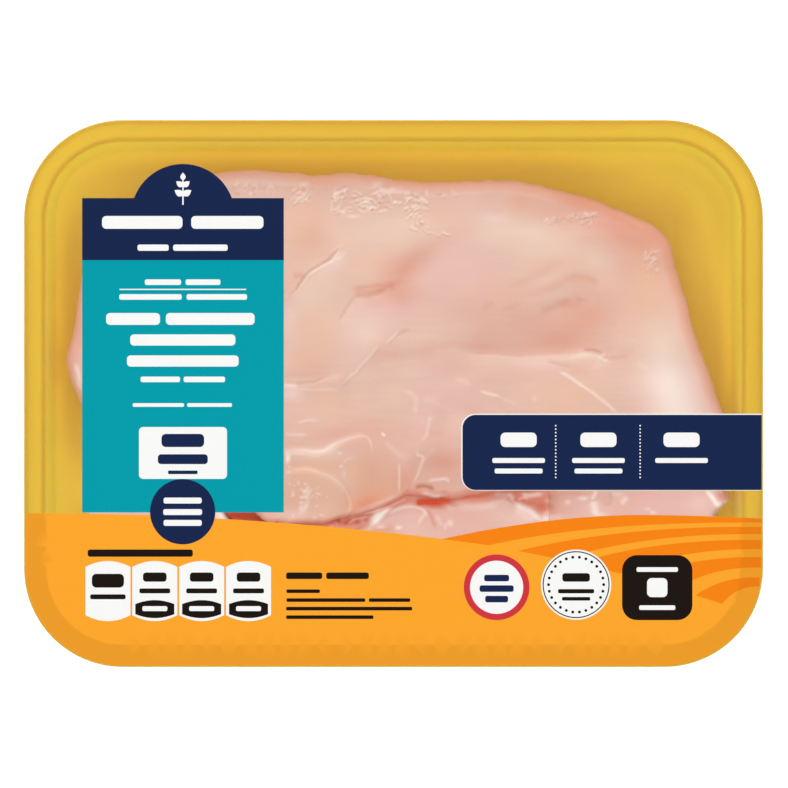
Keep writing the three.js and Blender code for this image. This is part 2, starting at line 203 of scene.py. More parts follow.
class MeatSettings(bpy.types.PropertyGroup):
    """Colours and grain of the raw meat."""

    flesh: colour_property("Flesh", "Main colour of the lean meat", "e1baab")
    rose: colour_property("Rose", "Cool pink where the meat is smooth and wet", "e4b6b0")
    peach: colour_property("Peach", "Warm pink over the thin layers", "eabf9f")
    blush: colour_property("Blush", "Salmon pink of thin and bruised places", "dc9880")
    cream: colour_property("Cream", "Pale colour where the meat is thick", "e9cebb")
    # Real fat and connective tissue, and also painted highlights: pale crests of folds, glints and bright
    # lit edges
    fat: colour_property("Fat", "Colour of fat and connective tissue", "fdefe6")
    # Also painted light: brighter than the thin edge's own pink, against the shade on the rolled edges
    salmon: colour_property("Salmon", "Clear pink where the meat rolls under", "f4a896")
    # Painted shade: orange red where shade falls in the gaps between the pieces and under their edges, red
    # from light through the meat
    deep: colour_property("Deep", "Orange red of the tissue between the pieces", "f2601e")
    # Painted shade: red brown in creases, grooves and beside folds, with the redder tone of the tissue
    # there
    crease: colour_property("Crease", "Red brown of small creases", "b8401c")
    fibre_width: FloatProperty(
        name="Fibre width",
        description="Width of one bundle of muscle fibres",
        default=1.1 * MM,
        min=0.3 * MM,
        max=4.0 * MM,
        unit="LENGTH",
    )
    wetness: FloatProperty(
        name="Wetness",
        description="How much of the surface shines with juice",
        default=0.35,
        min=0.0,
        max=1.0,
        subtype="FACTOR",
    )


class FilmSettings(bpy.types.PropertyGroup):
    """The clear lidding film."""

    sag: FloatProperty(
        name="Sag",
        description="How far the film hangs in the middle of the opening",
        default=0.35 * MM,
        min=0.0,
        max=2.0 * MM,
        unit="LENGTH",
    )
    roughness: FloatProperty(
        name="Roughness",
        description="Roughness of the film's gloss",
        default=0.06,
        min=0.0,
        max=1.0,
        subtype="FACTOR",
    )


class PrintSettings(bpy.types.PropertyGroup):
    """Inks of the fields printed on the film."""

    orange: colour_property("Orange", "Band along the front", "f3a02a")
    deep_orange: colour_property("Deep orange", "Curved stripes on the band", "ee7f10")
    teal: colour_property("Teal", "Main panel", "0096a4")
    navy: colour_property("Navy", "Header, badge and side banner", "17254a")
    white: colour_property("White", "Box, tags, bars and discs", "efefed")
    red: colour_property("Red", "Ring of the left disc", "c8343c")
    dark: colour_property("Dark", "Plaque and small dark bars", "1c1512")


class StudioSettings(bpy.types.PropertyGroup):
    """Lamps, floor and camera."""

    top_power: FloatProperty(
        name="Top lamp",
        description="Power of the broad lamp straight above",
        default=72.0,
        min=0.0,
        unit="POWER",
    )
    key_power: FloatProperty(
        name="Key lamp",
        description="Power of the large lamp beyond the back edge",
        default=17.0,
        min=0.0,
        unit="POWER",
    )
    fill_power: FloatProperty(
        name="Fill lamps",
        description="Power of each of the three other lamps",
        default=4.0,
        min=0.0,
        unit="POWER",
    )
    sky: FloatProperty(
        name="Room light",
        description="Strength of the even light from the room",
        default=0.2,
        min=0.0,
        max=2.0,
        subtype="FACTOR",
    )
    floor: colour_property("Floor", "Matt white of the studio floor", "fbfbfb")
    focal_length: FloatProperty(
        name="Focal length",
        description="Long lens, so that the pack shows with almost no perspective",
        default=1200.0,
        min=35.0,
        unit="CAMERA",
    )


# Shapes in the plane


def smooth_step(low, high, value):
    share = np.clip((value - low) / (high - low), 0, 1)
    return share * share * (3 - 2 * share)


def mottle(x, y, cell, seed):
    """Smooth random values from -1 to 1 that change over about one cell."""
    size = 128
    grid = np.random.default_rng(seed).uniform(-1, 1, (size, size))
    u = x / cell
    v = y / cell
    i = np.floor(u).astype(int)
    j = np.floor(v).astype(int)
    s = smooth_step(0, 1, u - i)
    t = smooth_step(0, 1, v - j)
    near = grid[i % size, j % size] * (1 - s) + grid[(i + 1) % size, j % size] * s
    far = grid[i % size, (j + 1) % size] * (1 - s) + grid[(i + 1) % size, (j + 1) % size] * s
    return near * (1 - t) + far * t


def curve_through(corners, steps, closed=False):
    """Centripetal Catmull-Rom curve through corners, with so many steps in each span."""
    knots = np.array(corners, float)
    if closed:
        knots = np.vstack([knots[-1], knots, knots[:2]])
    else:
        knots = np.vstack([2 * knots[0] - knots[1], knots, 2 * knots[-1] - knots[-2]])
    share = (np.arange(steps) / steps)[:, None]
    spans = []
    for before, start, end, after in zip(knots, knots[1:], knots[2:], knots[3:]):
        gap_0 = math.dist(before, start) ** 0.5
        gap_1 = math.dist(start, end) ** 0.5
        gap_2 = math.dist(end, after) ** 0.5
        leave = (start - before) / gap_0 - (end - before) / (gap_0 + gap_1)
        leave = (leave + (end - start) / gap_1) * gap_1
        arrive = (end - start) / gap_1 - (after - start) / (gap_1 + gap_2)
        arrive = (arrive + (after - end) / gap_2) * gap_1
        square = 3 * (end - start) - 2 * leave - arrive
        cube = 2 * (start - end) + leave + arrive
        spans.append(start + share * leave + share ** 2 * square + share ** 3 * cube)
    if not closed:
        spans.append(knots[-2:-1])
    return np.vstack(spans)


def spaced(points, count):
    """So many evenly spaced points along a closed line."""
    loop = np.vstack([points, points[:1]])
    run = np.concatenate([[0], np.cumsum(np.hypot(*np.diff(loop, axis=0).T))])
    at = np.arange(count) / count * run[-1]
    return np.column_stack([np.interp(at, run, loop[:, 0]), np.interp(at, run, loop[:, 1])])


def with_steps(points, longest):
    """A closed line with extra points, so that no side is longer than this."""
    result = []
    for start, end in zip(points, np.roll(points, -1, axis=0)):
        count = max(1, math.ceil(math.dist(start, end) / longest))
        result.extend(start + (end - start) * step / count for step in range(count))
    return np.array(result)


def arc(x, y, radius, start, end, steps=10):
    """Points on an arc, with its angles in degrees."""
    angles = np.radians(np.linspace(start, end, steps + 1))
    return np.column_stack([x + radius * np.cos(angles), y + radius * np.sin(angles)])


def disc(x, y, radius):
    return arc(x, y, radius, 0, 360, 64)[:-1]


def rounded_box(x1, y1, x2, y2, radius, steps=6):
    return np.vstack([
        arc(x2 - radius, y1 + radius, radius, -90, 0, steps),
        arc(x2 - radius, y2 - radius, radius, 0, 90, steps),
        arc(x1 + radius, y2 - radius, radius, 90, 180, steps),
        arc(x1 + radius, y1 + radius, radius, 180, 270, steps),
    ])


def bar(x, y, width, height):
    """A short printed bar with rounded ends, round its middle."""
    radius = min(height, width) * 0.32
    half_x = width / 2
    half_y = height / 2
    return rounded_box(x - half_x, y - half_y, x + half_x, y + half_y, radius, 4)


def bend(start, control, end, steps=24):
    """Points on a quadratic curve, without its first point."""
    share = (np.arange(1, steps + 1) / steps)[:, None]
    start, control, end = map(np.array, (start, control, end))
    return start * (1 - share) ** 2 + 2 * control * share * (1 - share) + end * share ** 2


def beside(path, x, y):
    """Distance from a path, side (positive to its left) and share of the way along it."""
    nearest = np.full(x.shape, np.inf)
    side = np.ones(x.shape)
    along = np.zeros(x.shape)
    for index, (start, end) in enumerate(zip(path, path[1:])):
        run = end - start
        off_x = x - start[0]
        off_y = y - start[1]
        share = np.clip((off_x * run[0] + off_y * run[1]) / (run @ run), 0, 1)
        distance = np.hypot(off_x - run[0] * share, off_y - run[1] * share)
        nearer = distance < nearest
        nearest = np.where(nearer, distance, nearest)
        side = np.where(nearer, np.sign(run[0] * off_y - run[1] * off_x), side)
        along = np.where(nearer, (index + share) / (len(path) - 1), along)
    return nearest, side, along


def inset_at(x, y):
    """How far places lie inside the tray's edge."""
    inside = np.minimum(pack_length / 2 - np.abs(x), pack_width / 2 - np.abs(y))
    corner_x = np.abs(x) - (pack_length / 2 - corner_radius)
    corner_y = np.abs(y) - (pack_width / 2 - corner_radius)
    in_corner = (corner_x > 0) & (corner_y > 0)
    return np.where(in_corner, corner_radius - np.hypot(corner_x, corner_y), inside)


# Meshes


def add_mesh(name, points, faces, crease_angle=35):
    """A mesh object from points in millimetres, smooth but for edges over the angle."""
    mesh = bpy.data.meshes.new(name)
    mesh.from_pydata((np.asarray(points) * MM).tolist(), [], faces)
    mesh.shade_smooth()
    mesh.set_sharp_from_angle(angle=math.radians(crease_angle))
    mesh.update()
    piece = bpy.data.objects.new(name, mesh)
    bpy.context.scene.collection.objects.link(piece)
    return piece


def add_values(piece, name, values):
    """Stores one number for each point, for the material to read."""
    values = np.clip(values, 0, 1).astype(np.float32)
    piece.data.attributes.new(name, "FLOAT", "POINT").data.foreach_set("value", values)


def place(piece, slot, material, *nodes):
    """Gives a piece its material and finish, and sets it in the frame for these nodes."""
    piece.data.materials.append(material)
    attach(piece, "root")
    if nodes:
        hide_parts(*nodes)


def strips(rings, count):
    """Faces that join so many rings, one after the other, with so many points each."""
    turn = [(i, (i + 1) % count) for i in range(count)]
    faces = []
    for first in range(0, (rings - 1) * count, count):
        second = first + count
        faces += [(first + a, first + b, second + b, second + a) for a, b in turn]
    return faces


def fan(ring, middle, count, upward):
    """Faces between a ring and a middle point."""
    turn = [(ring + i, ring + (i + 1) % count) for i in range(count)]
    return [(middle, a, b) if upward else (middle, b, a) for a, b in turn]


def fill(outline, inner):
    """Points and triangles over an outline. The outline's points come first."""
    points = [Vector(point) for point in np.vstack([outline, inner]).tolist()]
    border = list(range(len(outline)))
    found = geometry.delaunay_2d_cdt(points, [], [border], 1, 1e-5)
    points = np.array([tuple(point) for point in found[0]])
    faces = np.array(found[2])
    used = np.unique(np.concatenate([border, faces.ravel()]))
    number = np.zeros(len(points), int)
    number[used] = np.arange(len(used))
    return points[used], number[faces]


def dots_over(low, high, step):
    """Points in staggered rows over a box."""
    x, y = np.meshgrid(
        np.arange(low[0] + 0.37 * step, high[0], step),
        np.arange(low[1] + 0.41 * step, high[1], step * 0.866),
    )
    x[1::2] += step / 2
    return np.column_stack([x.ravel(), y.ravel()])


# Materials


def add_node(tree, kind, settings=None, inputs=None):
    """Adds a node, sets its options, and gives its inputs their values or links."""
    made = tree.nodes.new(kind)
    for name, value in (settings or {}).items():
        setattr(made, name, value)
    for name, value in (inputs or {}).items():
        if isinstance(value, bpy.types.NodeSocket):
            tree.links.new(value, made.inputs[name])
        else:
            made.inputs[name].default_value = value
    return made


def new_material(name):
    """An empty material, its node tree and its object coordinates."""
    material = bpy.data.materials.new(name)
    material.use_nodes = True
    tree = material.node_tree
    tree.nodes.clear()
    return material, tree, add_node(tree, "ShaderNodeTexCoord").outputs["Object"]


def add_surface(tree, kind, inputs):
    """Adds the shader of the surface, and the output that it goes to."""
    shader = add_node(tree, kind, None, inputs)
    add_node(tree, "ShaderNodeOutputMaterial", None, {"Surface": shader.outputs[0]})


def noise(tree, where, size, detail, **more):
    """Noise with cells of about this size, in metres."""
    inputs = {"Vector": where, "Scale": 1 / size, "Detail": detail, **more}
    return add_node(tree, "ShaderNodeTexNoise", None, inputs).outputs["Fac"]


def map_range(tree, value, low, high, to_low=0.0, to_high=1.0):
    """Turns one range of values into another one."""
    inputs = {"Value": value, "From Min": low, "From Max": high, "To Min": to_low, "To Max": to_high}
    return add_node(tree, "ShaderNodeMapRange", None, inputs).outputs[0]


def mix(tree, share, first, second):
    """The first colour, with this share of the second one."""
    inputs = {0: share, 6: first, 7: second}
    return add_node(tree, "ShaderNodeMix", {"data_type": "RGBA"}, inputs).outputs[2]


def stored(tree, name):
    """The number that each point of the mesh holds under this name."""
    return add_node(tree, "ShaderNodeAttribute", {"attribute_name": name}).outputs["Fac"]


def bump(tree, height, strength, distance, **more):
    """A normal that follows a relief."""
    inputs = {"Height": height, "Strength": strength, "Distance": distance, **more}
    return add_node(tree, "ShaderNodeBump", None, inputs).outputs["Normal"]


def rgba(colour, shade=1.0):
    return (*(min(1.0, part * shade) for part in colour), 1.0)


def thermoformed_plastic(settings):
    """Polypropylene sheet, drawn into a mould: a soft satin shine, with the sheet's faint
    cloudiness where it was stretched and a very fine mould texture. The rim is painted duller,
    a painted shade that evens the fully lit rim with the inside. The steep wall is painted a
    clearer yellow, a painted light where less light reaches it. The floor is painted a deeper
    yellow, a painted shade that is strongest beside the meat, where its shadow falls."""
    material, tree, where = new_material("thermoformed_polypropylene")
    cloud = noise(tree, where, 28 * MM, 2.0)
    colour = mix(tree, cloud, rgba(settings.colour, 0.97), rgba(settings.colour, 1.03))
    tones = (
        ("drawn", settings.painted_wall_light_colour),
        ("on_rim", settings.painted_rim_shade),
        ("wet", settings.painted_shade_colour),
    )
    for name, tone in tones:
        colour = mix(tree, stored(tree, name), colour, rgba(tone))
    mould_texture = noise(tree, where, 0.5 * MM, 1.0)
    add_surface(tree, "ShaderNodeBsdfPrincipled", {
        "Base Color": colour,
        "Roughness": 0.42,
        "IOR": 1.49,
        "Specular IOR Level": 0.3,
        "Subsurface Weight": 0.85,
        "Subsurface Radius": (1.0, 0.85, 0.4),
        "Subsurface Scale": 8 * MM,
        "Normal": bump(tree, mould_texture, 0.12, 0.02 * MM),
    })
    return material


def raw_breast_meat(settings):
    """Raw muscle: pale pink and translucent, with faint bundles of fibre along the meat, pink
    and cream places, white connective tissue, and a wet surface. Its tints also paint shade into
    gaps and creases, and highlights onto crests and folds."""
    material, tree, where = new_material("raw_breast_meat")
    # Fibres run along the pack, 8 times as long as they are wide. The turn comes after the
    # stretch, so it only picks other bundles.
    drawn_out = add_node(tree, "ShaderNodeMapping", None, {
        "Vector": where,
        "Rotation": (0.0, 0.0, math.radians(-28)),
        "Scale": (0.12, 1.0, 0.5),
    })
    fibre_size = settings.fibre_width / 0.7
    fibre = noise(tree, drawn_out.outputs["Vector"], fibre_size, 3.0, Roughness=0.6)
    patches = noise(tree, where, 13 * MM, 3.0)
    # Membrane is a skin with fine crinkles, 1.2 mm apart and longer along the pack.
    wider = add_node(tree, "ShaderNodeMapping", None, {"Vector": where, "Scale": (0.6, 1.0, 1.0)})
    wrinkle = noise(tree, wider.outputs["Vector"], 1.2 * MM, 2.0, Distortion=0.8)
    crest = add_node(tree, "ShaderNodeMath", {"operation": "PINGPONG"}, {0: wrinkle, 1: 0.5})
    skin = add_node(tree, "ShaderNodeMath", {"operation": "MULTIPLY"}, {
        0: map_range(tree, crest.outputs[0], 0.43, 0.5, 0.0, 0.4),
        1: stored(tree, "membrane"),
    }).outputs[0]
    pale_flesh = rgba(settings.flesh, 1.025)
    colour = mix(tree, map_range(tree, patches, 0.35, 0.7), rgba(settings.flesh, 0.975), pale_flesh)
    colour = mix(tree, map_range(tree, fibre, 0.35, 0.75, 0.0, 0.3), colour, rgba(settings.cream))
    for tint in TINTS:
        colour = mix(tree, stored(tree, tint), colour, rgba(getattr(settings, tint)))
    # The crinkles' crests are painted pale, a painted highlight, besides their bump
    colour = mix(tree, skin, colour, rgba(settings.fat))
    ripple = bump(tree, fibre, 0.35, 0.12 * MM)
    add_surface(tree, "ShaderNodeBsdfPrincipled", {
        "Base Color": colour,
        "Roughness": 0.42,
        "IOR": 1.4,
        "Subsurface Weight": 0.3,
        "Subsurface Radius": (1.0, 0.45, 0.3),
        "Subsurface Scale": 2.5 * MM,
        "Coat Weight": settings.wetness,
        "Coat Roughness": 0.12,
        "Normal": bump(tree, skin, 0.8, 0.4 * MM, Normal=ripple),
    })
    return material


def lidding_film(settings):
    """Clear polyester film, stretched and heat-sealed: you see through it, and only a thin
    gloss shows, stronger at a low angle."""
    material, tree, where = new_material("polyester_lidding_film")
    clear = add_node(tree, "ShaderNodeBsdfTransparent")
    pull = noise(tree, where, 18 * MM, 1.0)
    gloss = add_node(tree, "ShaderNodeBsdfGlossy", None, {
        "Color": (1.0, 1.0, 1.0, 1.0),
        "Roughness": settings.roughness,
        "Normal": bump(tree, pull, 0.2, 0.3 * MM),
    })
    slant = add_node(tree, "ShaderNodeLayerWeight", None, {"Blend": 0.5})
    steep = add_node(tree, "ShaderNodeMath", {"operation": "POWER"}, {
        0: slant.outputs["Facing"],
        1: 5.0,
    })
    add_surface(tree, "ShaderNodeMixShader", {
        0: map_range(tree, steep.outputs[0], 0.0, 1.0, 0.03, 0.7),
        1: clear.outputs[0],
        2: gloss.outputs[0],
    })
    return material


def printing_ink(name, colour, rim_shade=1.0):
    """Flexographic ink on film: even and opaque, with a faint mottle from the printing plate.
    It looks darker where the film lies on the rim."""
    material, tree, where = new_material(name)
    screen = noise(tree, where, 2.5 * MM, 3.0)
    even = mix(tree, screen, rgba(colour, 0.985), rgba(colour, 1.015))
    add_surface(tree, "ShaderNodeBsdfPrincipled", {
        "Base Color": mix(tree, stored(tree, "on_rim"), even, rgba(colour, rim_shade)),
        "Roughness": 0.18,
        "IOR": 1.35,
        "Specular IOR Level": 0.12,
    })
    return material


def studio_paint(settings):
    """Matt emulsion on a studio floor: a faint glow of its own keeps it white, and it shows a
    faint roller texture."""
    material, tree, where = new_material("matt_white_emulsion")
    roller = noise(tree, where, 6 * MM, 2.0)
    add_surface(tree, "ShaderNodeBsdfPrincipled", {
        "Base Color": mix(tree, roller, rgba(settings.floor, 0.99), rgba(settings.floor)),
        "Roughness": 0.9,
        "IOR": 1.2,
        "Emission Color": (1.0, 1.0, 1.0, 1.0),
        "Emission Strength": 0.42,
    })
    return material


# Tray


def tray_ring(inset, height, corner_steps=20):
    """A ring of points round the tray, moved in from its edge."""
    radius = corner_radius - inset
    x = pack_length / 2 - corner_radius
    y = pack_width / 2 - corner_radius
    middles = ((x, y, 0), (-x, y, 90), (-x, -y, 180), (x, -y, 270))
    corners = [arc(cx, cy, radius, turn, turn + 90, corner_steps) for cx, cy, turn in middles]
    ring = with_steps(np.vstack(corners), longest_tray_side)
    return np.column_stack([ring, np.full(len(ring), height)])


def rounded_turn(before, corner, after, radius, steps=4):
    """Points that round a corner of the section off."""
    corner = np.array(corner, float)
    way_in = corner - before
    way_out = after - corner
    start = corner - way_in / np.hypot(*way_in) * radius
    end = corner + way_out / np.hypot(*way_out) * radius
    return [tuple(start), *map(tuple, bend(start, corner, end, steps))]


def tray_section(rounding):
    """(inset, height) from under the floor, up the outside, over the rim and down inside."""
    rim_under = rim_height - rim_thickness

    def inner(z):
        return rim_width + (rim_height - z) * wall_draft

    def outer(z):
        return inner(z) - wall_thickness

    outside_fillet = floor_fillet + floor_thickness
    fillet_middle = inner(outside_fillet) + floor_fillet
    foot_edge = fillet_middle + foot_width
    section = [
        (foot_edge + 2, foot_height),
        (foot_edge + 0.3, 0.1),
        (foot_edge - 0.3, 0.0),
        (fillet_middle, 0.0),
    ]
    turns = np.radians(np.arange(1, 11) * 9)
    reach = fillet_middle - outer(outside_fillet)
    section += [
        (fillet_middle - reach * math.sin(a), outside_fillet * (1 - math.cos(a))) for a in turns
    ]
    section += [
        (outer(rim_under - 2), rim_under - 2),
        (outer(rim_under) - 0.1, rim_under - 0.8),
        (outer(rim_under) - 0.8, rim_under),
        (lip_thickness + 0.4, rim_under),
        (lip_thickness, rim_under - 0.4),
        (lip_thickness, rim_height - lip_drop + 0.2),
        (lip_thickness * 0.7, rim_height - lip_drop),
        (lip_thickness * 0.3, rim_height - lip_drop),
        (0.0, rim_height - lip_drop + 0.3),
    ]
    section += rounded_turn((0.0, rim_height - 2), (0.0, rim_height), (2.0, rim_height), rounding)
    section.append((rounding + 0.5, rim_height))
    section.append((rim_width - rounding - 0.7, rim_height))
    inner_edge = (rim_width - 0.15, rim_height)
    section += rounded_turn((2.0, rim_height), inner_edge, (inner(20), 20.0), rounding)
    section.append((inner(rim_height - 2), rim_height - 2))
    section += [
        (
            fillet_middle - floor_fillet * math.cos(a),
            outside_fillet - floor_fillet * math.sin(a),
        )
        for a in np.radians(np.arange(0, 11) * 9)
    ]
    section += [
        (foot_edge - 0.3, floor_thickness),
        (foot_edge + 0.3, floor_thickness + 0.1),
        (foot_edge + 2, floor_thickness + foot_height),
    ]
    return section


class TRAYPACK_OT_tray(bpy.types.Operator):
    """Build the thermoformed tray"""

    bl_idname = "traypack.tray"
    bl_label = "Tray"
    bl_options = {"REGISTER", "UNDO"}

    def execute(self, context):
        settings = context.scene.traypack_tray
        rings = [tray_ring(*at) for at in tray_section(settings.rim_rounding / MM)]
        count = len(rings[0])
        edge = rings[-1][:, :2]
        flat, triangles = fill(edge, dots_over(edge.min(0), edge.max(0), tray_floor_step))
        level = floor_thickness + foot_height
        inner = np.column_stack([flat[count:], np.full(len(flat) - count, level)])
        points = np.vstack([*rings, inner, [(0, 0, foot_height)]])
        faces = strips(len(rings), count)
        faces += (triangles + (len(rings) - 1) * count).tolist()
        faces += fan(0, len(points) - 1, count, False)
        tray = add_mesh("Tray", points, faces, 50)
        # Thin plastic passes light, so the meat's edges aren't tinted by the walls.
        tray.visible_diffuse = False
        x, y, z = points.T
        inset = inset_at(x, y)
        # The rim's share of the duller yellow, a painted shade
        near_rim = smooth_step(rim_height - 6, rim_height - 3, z)
        add_values(tray, "on_rim", near_rim * smooth_step(rim_width + 0.4, rim_width - 0.5, inset))
        distance = np.full(x.shape, np.inf)
        for outline in (top_outline, right_outline):
            meat = curve_through(outline, 4, closed=True)
            gap, side, _ = beside(np.vstack([meat, meat[:1]]), x, y)
            distance = np.minimum(distance, np.where(side > 0, 0, gap))
        # Painted shade: the floor's yellow is a little deeper everywhere, deeper round the meat where its
        # shadow falls, and deepest right beside it and by the right piece
        wet = painted_shade_floor + painted_shade_round_meat * smooth_step(15, 5, distance)
        wet = smooth_step(7, 14, inset) * wet
        beside_meat = painted_shade_beside_meat * smooth_step(9, 1, distance) * smooth_step(2, 6.5, inset)
        wet = np.maximum(wet, beside_meat)
        wet += painted_shade_at_right * smooth_step(82, 92, x) * smooth_step(12, 1, distance)
        # Both tones, the wall's painted light and the floor's painted shade, are for the inside alone. Its
        # points follow the rim's highest ones.
        first_inside = np.flatnonzero(z == z.max())[-1]
        for tone, share in (("drawn", smooth_step(8, 15, z)), ("wet", wet)):
            share[:first_inside] = 0
            share[-1] = 0
            add_values(tray, tone, share)
        place(tray, "tray", thermoformed_plastic(settings), "tray")
        return {"FINISHED"}


# Meat


class Flesh:
    """Height and tints of a piece of meat at many places, built up feature by feature.

    Each feature takes the share that it adds of "height", in millimetres, and of each tint."""

    def __init__(self, x, y, depth, seed):
        self.x = x + 0.3 * mottle(x, y, 6.5, seed) + 0.15 * mottle(x, y, 2.4, seed + 1)
        self.y = y + 0.3 * mottle(x, y, 6.5, seed + 2) + 0.15 * mottle(x, y, 2.4, seed + 3)
        self.depth = depth
        self.layers = {name: np.zeros(x.shape) for name in ("height", *TINTS, "membrane")}

    def add(self, where, mask, amounts):
        for name, amount in amounts.items():
            self.layers[name][where] += amount * mask

    def near(self, path, margin):
        low = path.min(0) - margin
        high = path.max(0) + margin
        inside_x = (self.x > low[0]) & (self.x < high[0])
        return np.flatnonzero(inside_x & (self.y > low[1]) & (self.y < high[1]))

    def spot(self, x, y, reach_x, reach_y, turn=0, **amounts):
        """A soft round or oval patch."""
        where = self.near(np.array([(x, y)]), 2.4 * max(reach_x, reach_y))
        cos = math.cos(math.radians(turn))
        sin = math.sin(math.radians(turn))
        off_x = self.x[where] - x
        off_y = self.y[where] - y
        u = (off_x * cos + off_y * sin) / reach_x
        v = (off_y * cos - off_x * sin) / reach_y
        self.add(where, np.exp(-(u * u + v * v)), amounts)

    def line(self, path, width, **amounts):
        """A soft line along a path, thinner towards both ends."""
        path = curve_through(path, 5)
        where = self.near(path, 2.4 * width)
        distance, _, along = beside(path, self.x[where], self.y[where])
        ends = smooth_step(-0.02, 0.22, along) * smooth_step(1.02, 0.78, along)
        thin = width * (0.45 + 0.55 * ends)
        self.add(where, ends * np.exp(-((distance / thin) ** 2)), amounts)

    def flap(self, path, edge, reach, **amounts):
        """The edge of a flap, which stands up to the left of a path and sinks back."""
        path = curve_through(path, 5)
        where = self.near(path, 2.4 * reach)
        x = self.x[where]
        y = self.y[where]
        distance, side, _ = beside(path, x, y)
        chord = path[-1] - path[0]
        share = ((x - path[0, 0]) * chord[0] + (y - path[0, 1]) * chord[1]) / (chord @ chord)
        ends = smooth_step(-0.05, 0.2, share) * smooth_step(1.05, 0.8, share)
        rise = smooth_step(-edge, edge, side * distance)
        self.add(where, ends * rise * np.exp(-distance / reach), amounts)

    def terrace(self, path, edge, **amounts):
        """Everything to the left of a path."""
        path = curve_through(path, 3)
        distance, side, _ = beside(path, self.x, self.y)
        self.add(slice(None), smooth_step(-edge, edge, side * distance), amounts)


def unevenness(x, y, seed):
    """Slow unevenness of the meat, the same as the solid's."""
    wave = np.sin(x / 9.3 + seed) * np.cos(y / 7.1 - seed)
    ripple = np.sin((x + 1.7 * y) / 5.9 + 2 * seed) * np.cos((1.3 * x - y) / 8.3)
    return 0.45 * wave + 0.35 * ripple


def crinkles(flesh, patches, seed):
    """Thin skin drawn into short folds, pale on their crests and pinker beside them: a painted
    highlight on each crest, and painted shade beside it.

    Each patch holds its middle and its reach, its number of folds, their length and turn."""
    chance = np.random.default_rng(seed)
    for x, y, reach_x, reach_y, count, length, turn in patches:
        flesh.spot(x, y, reach_x, reach_y, membrane=1.0, peach=0.2, blush=0.08)
        for _ in range(count):
            middle = chance.uniform((x - reach_x, y - reach_y), (x + reach_x, y + reach_y))
            angle = math.radians(turn + chance.normal(0, 20))
            run = np.array((math.cos(angle), math.sin(angle)))
            across = np.array((-run[1], run[0]))
            share = np.linspace(-0.5, 0.5, 5)[:, None]
            arch = chance.uniform(-1.2, 1.2) * (0.25 - share ** 2) * length
            fold = middle + run * share * length * chance.uniform(0.6, 1.4) + across * arch
            amount = chance.uniform(0.14, 0.34)
            # A pale crest, a painted highlight, and a line of painted shade just below it
            flesh.line(fold, 0.34, fat=amount, peach=amount, height=0.15)
            flesh.line(fold - (0, 0.6), 0.34, crease=0.5 * amount, height=-0.12)


def top_forms(flesh):
    """Broad forms of the top piece, and its pink rolled rim."""
    spot = flesh.spot
    line = flesh.line

    # Broad swellings, the same as the solid's
    spot(80, 12, 22, 34, height=2.6)
    spot(-3, 17, 22, 12, turn=35, height=1.8)
    spot(-60, 15, 30, 30, height=1.2)
    spot(45, 18, 18, 8, turn=-5, height=-1.6)
    spot(-26, -31, 12, 9, turn=-20, height=0.8)
    line([(10, 0), (12, -5), (10, -13), (8, -26)], 4, height=0.9)
    line([(44, 25), (58, 28.5), (64, 29)], 4.5, height=-1.0)

    # Pink rim along the back and the sides, where the meat thins and rolls under. Its salmon pink is
    # painted brighter, a painted light against the roll's shade, and its very edge gets orange red
    # painted shade.
    side = smooth_step(60, 85, np.abs(flesh.x))
    behind = smooth_step(-25, 5, flesh.y)
    flesh.layers["blush"] += 0.15 * behind * smooth_step(12, 4, flesh.depth)
    flesh.layers["blush"] += 0.25 * behind * smooth_step(4.5, 2, flesh.depth)
    flesh.layers["salmon"] += (0.4 + 0.2 * behind) * smooth_step(4.2 + 1.2 * side, 0.9, flesh.depth)
    flesh.layers["deep"] += 0.2 * behind * smooth_step(1.0, 0.2, flesh.depth)
    flesh.layers["blush"] += 0.17 * smooth_step(-4, -14, flesh.y)
    spot(55.5, 57.5, 7, 3.4, turn=-14, blush=0.3)
    spot(74, 47, 11, 6.5, turn=-32, blush=0.4)
    spot(66, 50.5, 7, 5, blush=0.25)
    spot(70, 38, 13, 12, blush=0.2)
    spot(82.5, 47, 1.6, 1.6, rose=0.6)

    # Streak at the left end, beside the print
    line([(-97.2, 9.6), (-96.4, 7), (-95.8, 4), (-95, 0)], 0.8, fat=0.6, height=0.2)


